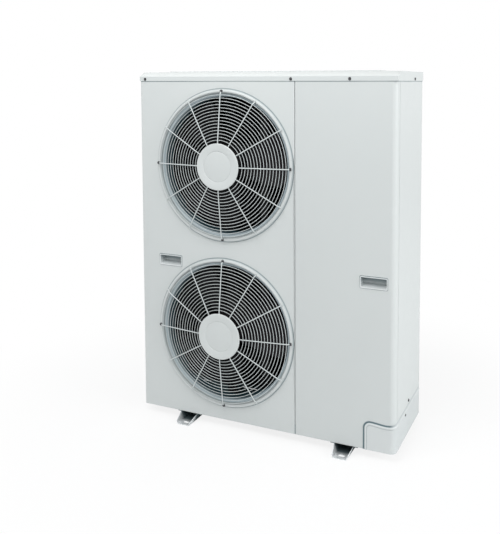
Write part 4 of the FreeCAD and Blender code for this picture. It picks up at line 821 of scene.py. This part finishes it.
def rolled_sheet(bm, name, node):
    """Turn a sheet's surface to the front, and give it the thickness of the metal."""
    mesh = mesh_of(bm, name)
    if sum(p.normal.y * p.area for p in mesh.polygons) > 0:
        mesh.flip_normals()
    sheet = placed(name, mesh)
    thickness = sheet.modifiers.new("sheet", "SOLIDIFY")
    thickness.thickness = sheet_gauge
    thickness.offset = -1.0
    thickness.use_even_offset = True
    dress(settled(sheet), node, 35)


print("sheet:", sheet_gauge, "m thick")

# %% Build the fan panel
collar_segments = 128
# The third number of each point is painted shade: a dark line where the collar rises from the sheet, fading
# up its outer slope, and a little on its inner slope.
collar_profile = [(0.2800, 0.0, 0), (0.2786, 0.0, 0.6), (0.2778, -0.0002, 0.75), (0.2773, -0.0009, 0.65),
                  (0.2766, -0.0022, 0.45), (0.2756, -0.0045, 0.28), (0.2744, -0.0068, 0.18),
                  (0.2728, -0.0082, 0.08), (0.2708, -0.0089, 0), (0.2690, -0.0090, 0), (0.2668, -0.0088, 0.0),
                  (0.2652, -0.0080, 0.06), (0.2640, -0.0064, 0.2), (0.2594, 0.0012, 0.45)]
collar_radius = collar_profile[0][0]
low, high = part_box("fan_panel")
side_bend = 0.007
seam_bend = 0.002
flange_end = front + 0.012
grip_hole = grip_opening("left_grip_cup", 0.003, 0.003)
angles = [2 * math.pi * i / collar_segments for i in range(collar_segments)]
outlets = [[around(centre, collar_radius, angle) for angle in angles] for centre in fan_centres.values()]
bm = bmesh.new()
layer = bm.verts.layers.float.new("crevice")
add_flat(bm, rectangle(low.x + side_bend, high.x - seam_bend, low.z, high.z), outlets + [grip_hole])
collar_line = [(radius_at, front + y) for radius_at, y, _ in collar_profile]
collar_shades = [shade_at for _, _, shade_at in collar_profile]
for centre in fan_centres.values():
    shade_rows(turned(bm, collar_line, centre, collar_segments), layer, collar_shades)
for fold in (bend_back(low.x, -1, side_bend, 6, high.y), bend_back(high.x, 1, seam_bend, 3, flange_end)):
    add_fold(bm, fold, low.z, high.z)
rolled_sheet(bm, "fan_sheet", "fan_panel")
print("collar rises", -min(y for _, y, _ in collar_profile), "m")

# %% [markdown]
# ## The service sheet
#
# The sheet right of the seam hides the machine side. It has no outlet, so only the finger grip and the notch
# for the pipe cover interrupt it. It is folded round the front corner in a wide, soft bend, which shows as an
# upright band of changing light.

# %% Build the service sheet
low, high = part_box("service_panel")
cover_low, cover_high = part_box("pipe_cover")
corner_bend = 0.020
notch_x = cover_low.x + 0.010
notch_z = cover_low.z + 0.088
outline = [(low.x + seam_bend, low.z), (notch_x, low.z), (notch_x, notch_z), (right - corner_bend, notch_z),
           (right - corner_bend, high.z), (low.x + seam_bend, high.z)]
bm = bmesh.new()
add_flat(bm, outline, [grip_opening("right_grip_cup", 0.0028, 0.0034)])
add_fold(bm, bend_back(low.x, -1, seam_bend, 3, flange_end), low.z, high.z)
add_fold(bm, bend_back(right, 1, corner_bend, 10, high.y), notch_z, high.z)
rolled_sheet(bm, "service_sheet", "service_panel")

# %% [markdown]
# ## Folded pieces with soft edges
#
# No edge of a real folded sheet is sharp. The press rounds it, paint fills it, and the narrow round catches a
# line of light. Each of these pieces keeps the CAD shape: a copy is welded together, its edges get a narrow
# bevel, and the flat faces keep straight normals, so that they stay flat to the eye. The feet run under the
# cabinet, where little light gets, so they also take a shade that grows from their ends inwards.

# %% Edge softener
weld_distance = 2e-5
flat_angle = math.radians(0.5)
edge_angle = math.radians(50.0)


def cut_across(bm, place_at, direction):
    """Cut new edges where a plane passes through a shape."""
    bmesh.ops.bisect_plane(bm, geom=bm.verts[:] + bm.edges[:] + bm.faces[:], dist=touching,
                           plane_co=place_at, plane_no=direction)


def shade_between(pairs, y):
    """The shade at y from (y, shade) pairs in order: straight between two of them, and level beyond them."""
    before = [pair for pair in pairs if pair[0] <= y + 1e-5]
    after = [pair for pair in pairs if pair[0] > y + 1e-5]
    if not before or not after:
        return (before[-1] if before else after[0])[1]
    (near_y, near_shade), (far_y, far_shade) = before[-1], after[0]
    return near_shade + (y - near_y) / (far_y - near_y) * (far_shade - near_shade)


def softened(node, name, width, shade_by=()):
    """A welded copy of a CAD node with narrow rounded edges. shade_by is a list of (y, crevice shade)."""
    bm = bmesh.new()
    bm.from_mesh(frame["nodes"][node].data)
    bmesh.ops.remove_doubles(bm, verts=bm.verts, dist=weld_distance)
    bmesh.ops.dissolve_limit(bm, angle_limit=flat_angle, verts=bm.verts, edges=bm.edges)
    for y, _ in shade_by:
        cut_across(bm, (0, y, 0), BACK)
    if shade_by:
        layer = bm.verts.layers.float.new("crevice")
        for vertex in bm.verts:
            vertex[layer] = shade_between(shade_by, vertex.co.y)
    mesh = bpy.data.meshes.new(name)
    bm.to_mesh(mesh)
    bm.free()
    obj = placed(name, mesh)
    mesh.shade_smooth()
    bevel = obj.modifiers.new("edges", "BEVEL")
    bevel.width = width
    bevel.segments = 2
    bevel.limit_method = "ANGLE"
    bevel.angle_limit = edge_angle
    bevel.miter_outer = "MITER_ARC"
    obj.modifiers.new("flat faces", "WEIGHTED_NORMAL").keep_sharp = True
    clothe(settled(obj), node)


front_end = [(front - 0.030, 0.0), (front - 0.018, 0.12), (front - 0.008, 0.5), (front, 0.9)]
under_cabinet = front_end + [(-y, shade_at) for y, shade_at in reversed(front_end)]
softened("top_cover", "lid", 0.0009)
softened("side_panel", "side_sheet", 0.0004)
softened("rear_post", "rear_corner_post", 0.0004)
softened("left_foot_rail", "left_foot", 0.0005, under_cabinet)
softened("right_foot_rail", "right_foot", 0.0005, under_cabinet)
softened("base_pan", "pan", 0.0006)

# %% [markdown]
# ## Shade in the pan
#
# The pan is a tray under the fans. Its inside gets a painted shade for its dirt and the shadow there, and so
# does the strip of its lip that shows through the seam between the two front sheets, which lies in shadow. A
# colour can only change where the mesh has points, so the pan is cut once on each side of the seam, and each
# point then notes whether it lies in the painted shade.

# %% Shade the pan
pan_mesh = bpy.data.objects["pan"].data
pan_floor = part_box("base_pan")[0].z
seam_centre = (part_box("fan_panel")[1].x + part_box("service_panel")[0].x) / 2
half_strip = 0.008
lip = 0.003
pan_shade = 0.95
bm = bmesh.new()
bm.from_mesh(pan_mesh)
for x in (seam_centre - half_strip, seam_centre + half_strip):
    cut_across(bm, (x, 0, 0), RIGHT)
layer = bm.verts.layers.float.new("crevice")
for vertex in bm.verts:
    x, y, z = vertex.co
    in_tray = abs(x) < right - lip and abs(y) < rear - lip and z > pan_floor + 0.001
    behind_seam = abs(x - seam_centre) < half_strip + 0.001 and y < front + 0.004
    vertex[layer] = pan_shade if in_tray or behind_seam else 0.0
bm.to_mesh(pan_mesh)
bm.free()
print("pan:", sum(value.value > 0 for value in pan_mesh.attributes["crevice"].data), "shaded points")

# %% [markdown]
# ## Finger grips
#
# Two moulded cups let a person tilt the cabinet. Each has a thin frame that stands on the sheet, and a pocket
# whose floor rises to the back. A cup is a chain of rounded rectangles, one behind the other. Little light
# gets to the top of the pocket, so each loop also says how dark its top and its bottom are. This is painted
# shade, and it also draws a thin painted shadow round the outside of the frame.

# %% Chain of loops
round_steps = 4
middle_height = 0.55
upper_part = 0.6


def rounded_loop(centre_x, low_z, high_z, half_width, corner, y):
    """A rectangle with round corners in the plane y, from its upper right corner anticlockwise."""
    loop = []
    for quarter, (side, level) in enumerate(((1, high_z - corner), (-1, high_z - corner),
                                             (-1, low_z + corner), (1, low_z + corner))):
        for i in range(round_steps + 1):
            angle = math.pi / 2 * (quarter + i / round_steps)
            loop.append((centre_x + side * (half_width - corner) + corner * math.cos(angle), y,
                         level + corner * math.sin(angle)))
    return loop


def shaded_row(bm, layer, loop, top_shade, bottom_shade):
    """A loop's vertices, which note how dark the crevice is, from the loop's top to its bottom."""
    heights = [z for _, _, z in loop]
    row = []
    for place_at in loop:
        vertex = bm.verts.new(place_at)
        share = (place_at[2] - min(heights)) / (max(heights) - min(heights))
        vertex[layer] = bottom_shade + (top_shade - bottom_shade) * share
        row.append(vertex)
    return row


def shaded_end(bm, layer, row):
    """Close a loop, with a row of vertices across it so that the shade can change on the way."""
    half = len(row) // 2
    middle_row = []
    for upper, lower in zip(row[:half], reversed(row[half:])):
        vertex = bm.verts.new(upper.co.lerp(lower.co, middle_height))
        vertex[layer] = upper_part * upper[layer] + (1 - upper_part) * lower[layer]
        middle_row.append(vertex)
    for i in range(half - 1):
        bm.faces.new((row[i], row[i + 1], middle_row[i + 1], middle_row[i]))
        bm.faces.new((middle_row[i], middle_row[i + 1], row[-2 - i], row[-1 - i]))
    bm.faces.new((row[0], middle_row[0], row[-1]))
    bm.faces.new((row[half - 1], row[half], middle_row[-1]))


print("loop helpers ready")

# %% Grip cups
for node, name in (("left_grip_cup", "left_grip"), ("right_grip_cup", "right_grip")):
    low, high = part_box(node)
    x, z = (low.x + high.x) / 2, (low.z + high.z) / 2
    face = low.y
    # Half width, half height, rise of the floor, corner radius, y, shade at the top, shade at the bottom
    sections = [(0.0470, 0.0185, 0.0, 0.003, high.y, 0, 0), (0.0470, 0.0185, 0.0, 0.003, front, 0, 0),
                (0.0500, 0.0220, 0.0, 0.005, front, 0.9, 0.4),
                (0.0500, 0.0220, 0.0, 0.005, front - 0.0003, 0.9, 0.4),
                (0.0487, 0.0205, 0.0, 0.0045, front - 0.0003, 0.9, 0.4),
                (0.0486, 0.0204, 0.0, 0.0045, face + 0.0008, 0.1, 0.3),
                (0.0480, 0.0198, 0.0, 0.004, face, 0, 0), (0.0464, 0.0179, 0.0, 0.0035, face, 0, 0),
                (0.0456, 0.0171, 0.0, 0.003, face + 0.0004, 0, 0),
                (0.0451, 0.0166, 0.0, 0.003, face + 0.0013, 0.2, 0),
                (0.0450, 0.0165, 0.0, 0.003, front + 0.001, 0.6, 0),
                (0.0446, 0.0163, 0.0075, 0.003, front + 0.025, 0.9, 0),
                (0.0430, 0.0150, 0.0075, 0.003, front + 0.028, 1.0, 0)]
    bm = bmesh.new()
    layer = bm.verts.layers.float.new("crevice")
    rows = []
    for half_width, half_height, rise, corner_radius, y, top_shade, bottom_shade in sections:
        loop = rounded_loop(x, z - half_height + rise, z + half_height, half_width, corner_radius, y)
        rows.append(shaded_row(bm, layer, loop, top_shade, bottom_shade))
    for near, far in zip(rows, rows[1:]):
        bridged(bm, near, far)
    shaded_end(bm, layer, rows[0])
    shaded_end(bm, layer, rows[-1])
    dress(placed(name, mesh_of(bm, name)), node, 35)
print("grips:", len(sections), "loops each")

# %% [markdown]
# ## The pipe cover
#
# A moulded cover closes the lower right corner over the pipes. Its edge runs up the front, over a crest, down
# to a dip, round the corner and back along the side. All along it there is a joint against the sheet,
# darkened by painted shade, a rounded bead, and a fine step behind the bead with a lighter painted shade. So
# one cross-section is carried along the whole edge, and the plain faces hang below it.

# %% Edge of the cover
plate = 0.0025
cover_right = right + plate
cover_front = front - plate
crest_z = cover_low.z + 0.102
dip_z = cover_low.z + 0.098
crest_radius = 0.027
rise_at_corner = 0.004
crest_steps, wave_steps, corner_steps = 12, 12, 8
edge = [((cover_low.x, cover_front, cover_low.z), FRONT, RIGHT)]
for i in range(crest_steps + 1):
    angle = math.pi / 2 * i / crest_steps
    inward = (math.cos(angle), 0, -math.sin(angle))
    x = cover_low.x + crest_radius * (1 - inward[0])
    z = crest_z - crest_radius * (1 + inward[2])
    edge.append(((x, cover_front, z), FRONT, inward))
wave_start, wave_end = cover_low.x + crest_radius, right - 0.028
for i in range(1, wave_steps + 1):
    share = i / wave_steps
    x = wave_start + (wave_end - wave_start) * share
    z = dip_z + (crest_z - dip_z) * (0.5 + 0.5 * math.cos(math.pi * share))
    edge.append(((x, cover_front, z), FRONT, DOWN))
for i in range(corner_steps + 1):
    share = i / corner_steps
    angle = math.pi / 2 * (share - 1)
    outward = (math.cos(angle), math.sin(angle), 0)
    x = cover_right - corner_bend + corner_bend * outward[0]
    y = cover_front + corner_bend + corner_bend * outward[1]
    edge.append(((x, y, dip_z + rise_at_corner * (0.3 + 0.7 * share)), outward, DOWN))
edge.append(((cover_right, cover_high.y, cover_high.z), RIGHT, DOWN))
print("cover edge:", len(edge), "places")

# %% Build the cover
joint_floor = 0.0004 - plate
# Distance from the edge, height over the plate, painted crevice shade
cover_section = [(0.0, -plate, 0.2), (0.0, joint_floor, 0.2), (0.0022, joint_floor, 0.75),
                 (0.0045, joint_floor, 0.95), (0.0062, 0.0008 - plate, 0.8), (0.0072, -0.0006, 0.3),
                 (0.0082, 0.0008, 0.05), (0.0094, 0.0016, 0), (0.0108, 0.0018, 0), (0.0128, 0.0016, 0),
                 (0.0142, 0.0008, 0.15), (0.0150, 0.0, 0.5), (0.0168, 0.0, 0.4), (0.0200, 0.0, 0.0)]
# Painted shade: on the side the shade along the edge is three quarters weaker, and the plain side face gets a
# faint one.
side_face_shade = 0.09
side_shade_fade = 0.75
bm = bmesh.new()
layer = bm.verts.layers.float.new("crevice")
rows = []
for place_at, outward, inward in edge:
    to_side = max(0.0, outward[0])
    row = []
    for distance_in, height, shade_at in cover_section:
        vertex = bm.verts.new(Vector(place_at) + Vector(inward) * distance_in + Vector(outward) * height)
        vertex[layer] = shade_at * (1.0 - side_shade_fade * to_side)
        row.append(vertex)
    row[-1][layer] = row[-2][layer] = side_face_shade * to_side
    rows.append(row)
feet = []
for row in rows[1:]:
    feet.append([bm.verts.new((v.co.x, v.co.y, cover_low.z)) for v in (row[0], row[-1])])
    feet[-1][1][layer] = row[-1][layer]
for near, far in zip(rows, rows[1:]):
    bridged(bm, near, far, closed=False)
for near, far, near_feet, far_feet in zip(rows[1:], rows[2:], feet, feet[1:]):
    bm.faces.new((near[-1], near_feet[1], far_feet[1], far[-1]))
    bm.faces.new((near[0], far[0], far_feet[0], near_feet[0]))
    bm.faces.new((near_feet[0], far_feet[0], far_feet[1], near_feet[1]))
bm.faces.new(rows[0])
bm.faces.new(rows[-1] + [feet[-1][1], feet[-1][0]])
dress(placed("pipe_corner_cover", mesh_of(bm, "pipe_corner_cover")), "pipe_cover", 35)
print("pipe cover:", round(cover_high.z - cover_low.z, 4), "m high at the rear")

# %% [markdown]
# ## Screws
#
# The case is held by washer-head screws, and each guard by four of them. All are alike, so one tree draws
# the screw and sets a copy on every seat. The seats are points that carry the direction the screw faces.

# %% Screw tree
screw_tree, given = growing_tree("screws", [
    ("Across Flats", FLOAT, 0.008), ("Head Height", FLOAT, 0.0030), ("Washer Radius", FLOAT, 0.0056),
    ("Washer Height", FLOAT, 0.0010), ("Washer Taper", FLOAT, 0.86)])
corner = math_of(screw_tree, "DIVIDE", given["Across Flats"], math.sqrt(3))
narrower = math_of(screw_tree, "MULTIPLY", given["Washer Radius"], given["Washer Taper"])
hexagon = add(screw_tree, "GeometryNodeMeshCone", {"Vertices": 6, "Radius Bottom": corner,
                                                   "Radius Top": corner, "Depth": given["Head Height"]})
washer = add(screw_tree, "GeometryNodeMeshCone", {"Vertices": 20, "Radius Bottom": given["Washer Radius"],
                                                  "Radius Top": narrower, "Depth": given["Washer Height"]})
screw_shape = add(screw_tree, "GeometryNodeJoinGeometry", {0: [hexagon, washer]})
facing = add(screw_tree, "GeometryNodeInputNamedAttribute", {"Name": "outward"}, data_type="FLOAT_VECTOR")
aimed = add(screw_tree, "FunctionNodeAlignRotationToVector", {"Vector": facing}, axis="Z")
set_screws = add(screw_tree, "GeometryNodeInstanceOnPoints", {"Points": given["Geometry"], "Rotation": aimed,
                                                              "Instance": screw_shape})
finish_tree(screw_tree, given, set_screws)


# %% Set the screws
def set_on(name, seats, node):
    """Grow the screws of one node on seats, which pair each place with the direction that the screw faces."""
    mesh = bpy.data.meshes.new(name)
    mesh.from_pydata([place_at for place_at, _ in seats], [], [])
    facing_out = mesh.attributes.new("outward", "FLOAT_VECTOR", "POINT")
    for value, (_, direction) in zip(facing_out.data, seats):
        value.vector = direction
    grown(name, mesh, screw_tree, {}, node, 30)


screw_circle = 0.2695
guard_seats = []
for centre in fan_centres.values():
    for quarter in range(4):
        x, z = around(centre, screw_circle, math.pi / 2 * quarter)
        guard_seats.append(((x, collar_crest - 0.0015, z), FRONT))
rim_z = roof + 0.007
lid_front, lid_rear = front - sheet_gauge, rear + sheet_gauge
lid_left, lid_right = left - sheet_gauge, right + sheet_gauge
case_seats = [((left + from_left, lid_front, rim_z), FRONT) for from_left in (0.023, 0.6217, 0.8358)]
case_seats += [((lid_right, front + 0.221, rim_z), RIGHT), ((lid_left, front + 0.02, rim_z), LEFT),
               ((left + 0.015, lid_rear, rim_z), BACK), ((0.415, lid_rear, rim_z), BACK),
               ((lid_right, front + 0.128, 0.111), RIGHT), ((right, front + 0.178, 0.143), RIGHT)]
set_on("guard_screw_set", guard_seats, "guard_screws")
set_on("case_screw_set", case_seats, "case_screws")

# %% [markdown]
# ## The coil
#
# The heat leaves through a block of aluminium fins on copper tubes, bent round the rear left corner. There
# is a fin every two millimetres, some four hundred of them, and their edges make the soft grey of the rear.
# The fins are pressed in shallow waves, so the air has to turn and no eye can look straight through them. The
# tree folds one fin, rounds the corner of a line, sets a fin on it at every step, and turns it across the
# line. It also notes how deep inside the cabinet each part of a fin lies, because hardly any light gets
# there.

# %% Coil tree
coil_tree, given = growing_tree("finned coil", [
    ("Bend", FLOAT, 0.062), ("Fin Pitch", FLOAT, 0.002), ("Fin Depth", FLOAT, 0.043),
    ("Fin Height", FLOAT, 1.2), ("Fin Sheet", FLOAT, 0.0002), ("Folds", WHOLE, 8), ("Wave", FLOAT, 0.0022)])
fold_count = math_of(coil_tree, "ADD", given["Folds"], 1.0)
fold_length = math_of(coil_tree, "DIVIDE", given["Fin Depth"], given["Folds"])
fold_step = add(coil_tree, "ShaderNodeCombineXYZ", {"Y": fold_length})
outer_face = math_of(coil_tree, "MULTIPLY", given["Fin Depth"], -0.5)
first_fold = add(coil_tree, "ShaderNodeCombineXYZ", {"Y": outer_face})
flat_fin = add(coil_tree, "GeometryNodeMeshLine", {"Count": fold_count, "Start Location": first_fold,
                                                   "Offset": fold_step})
number = add(coil_tree, "GeometryNodeInputIndex")
every_other = math_of(coil_tree, "PINGPONG", number, 1.0)
aside = math_of(coil_tree, "SUBTRACT", every_other, 0.5)
shift = add(coil_tree, "ShaderNodeCombineXYZ", {"X": math_of(coil_tree, "MULTIPLY", aside, given["Wave"])})
wavy_line = add(coil_tree, "GeometryNodeSetPosition", {"Geometry": flat_fin, "Offset": shift})
wavy = add(coil_tree, "GeometryNodeMeshToCurve", {"Mesh": wavy_line})
section = add(coil_tree, "GeometryNodeCurvePrimitiveQuadrilateral", {"Width": given["Fin Sheet"],
                                                                     "Height": given["Fin Height"]})
fin = add(coil_tree, "GeometryNodeCurveToMesh", {"Curve": wavy, "Profile Curve": section, "Fill Caps": True})
fin_place = add(coil_tree, "GeometryNodeInputPosition")
through = add(coil_tree, "ShaderNodeSeparateXYZ", {0: fin_place})
dark_from = math_of(coil_tree, "MULTIPLY", given["Fin Depth"], -0.25)
deep = ranged(coil_tree, through.outputs["Y"], from_min=outer_face, from_max=dark_from)
shaded_fin = add(coil_tree, "GeometryNodeStoreNamedAttribute", {"Geometry": fin, "Name": "crevice",
                                                                "Value": deep})
line = add(coil_tree, "GeometryNodeMeshToCurve", {"Mesh": given["Geometry"]})
round_corner = add(coil_tree, "GeometryNodeFilletCurve", {"Curve": line, "Radius": given["Bend"], "Count": 24,
                                                          "Limit Radius": True}, mode="POLY")
steps = add(coil_tree, "GeometryNodeCurveToPoints", {"Curve": round_corner, "Length": given["Fin Pitch"]},
            mode="LENGTH")
across = add(coil_tree, "FunctionNodeAlignRotationToVector", {"Vector": steps.outputs["Tangent"]}, axis="X",
             pivot_axis="Z")
fins = add(coil_tree, "GeometryNodeInstanceOnPoints", {"Points": steps, "Instance": shaded_fin,
                                                       "Rotation": across})
finish_tree(coil_tree, given, fins)

# %% Grow the coil
low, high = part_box("condenser_coil")
coil_depth = 0.044
end_clearance = 0.0015
middle_z = (low.z + high.z) / 2
corner_x, corner_y = low.x + coil_depth / 2, high.y - coil_depth / 2
centre_line = [(high.x - end_clearance, corner_y, middle_z), (corner_x, corner_y, middle_z),
               (corner_x, low.y + end_clearance, middle_z)]
grown("fin_block", path_mesh("coil_line", centre_line), coil_tree,
      {"Fin Depth": coil_depth - 0.001, "Fin Height": high.z - low.z - 0.002}, "condenser_coil")

# %% [markdown]
# ## The wire meshes over the coil
#
# Welded wire keeps hands and leaves off the fins: upright wires in front, level wires behind them. Two rows
# of copies of a straight line are enough for that.

# %% Mesh tree
mesh_tree, given = growing_tree("welded mesh", [
    ("Corner", VECTOR, (0, 0, 0)), ("Along", VECTOR, (1, 0, 0)), ("Inward", VECTOR, (0, -0.003, 0)),
    ("Height", FLOAT, 1.2), ("Columns", WHOLE, 11), ("Rows", WHOLE, 10), ("Wire", FLOAT, 0.0015)])
number = add(mesh_tree, "GeometryNodeInputIndex")


def share_along(count, shift):
    """Each copy's share of the way: its number, moved by shift, over the count less one, or the count."""
    moved = math_of(mesh_tree, "ADD", number, shift)
    gaps = math_of(mesh_tree, "SUBTRACT", count, 1.0 - 2 * shift)
    return math_of(mesh_tree, "DIVIDE", moved, gaps)


def wire_row(count, shift, start, way, wire_end):
    """Copies of a straight wire, count of them, spread from start along way."""
    place_on_way = add(mesh_tree, "ShaderNodeVectorMath", {0: way, "Scale": share_along(count, shift)},
                       operation="SCALE")
    place_at = add(mesh_tree, "ShaderNodeVectorMath", {0: start, 1: place_on_way}, operation="ADD")
    seats = add(mesh_tree, "GeometryNodePoints", {"Count": count, "Position": place_at})
    wire = add(mesh_tree, "GeometryNodeCurvePrimitiveLine", {"End": wire_end})
    return add(mesh_tree, "GeometryNodeInstanceOnPoints", {"Points": seats, "Instance": wire})


up = add(mesh_tree, "ShaderNodeCombineXYZ", {"Z": given["Height"]})
row_corner = add(mesh_tree, "ShaderNodeVectorMath", {0: given["Corner"], 1: given["Inward"]}, operation="ADD")
upright_set = wire_row(given["Columns"], 0.0, given["Corner"], given["Along"], up)
level_set = wire_row(given["Rows"], 0.5, row_corner, up, given["Along"])
all_wires = add(mesh_tree, "GeometryNodeJoinGeometry", {0: [upright_set, level_set]})
wire_curves = add(mesh_tree, "GeometryNodeRealizeInstances", {"Geometry": all_wires})
finish_tree(mesh_tree, given, wired(mesh_tree, wire_curves, given["Wire"]))

# %% Grow both meshes
mesh_wire = 0.0015
column_pitch, row_pitch = 0.06, 0.12
for side, axis, inward in (("rear", 0, -1), ("left", 1, 1)):
    low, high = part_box(side + "_coil_guard")
    length, height = high[axis] - low[axis], high.z - low.z
    corner_y = high.y - mesh_wire if side == "rear" else low.y + mesh_wire
    along = [0.0, 0.0, 0.0]
    along[axis] = length - 2 * mesh_wire
    to_rows = [0.0, 0.0, 0.0]
    to_rows[1 - axis] = inward * 2 * mesh_wire
    grown(side + "_wire_mesh", path_mesh("seed", [(0, 0, 0), (0, 0, 0.001)]), mesh_tree,
          {"Corner": (low.x + mesh_wire, corner_y, low.z), "Along": along, "Inward": to_rows,
           "Height": height, "Columns": round(length / column_pitch) + 1, "Rows": round(height / row_pitch)},
          side + "_coil_guard")
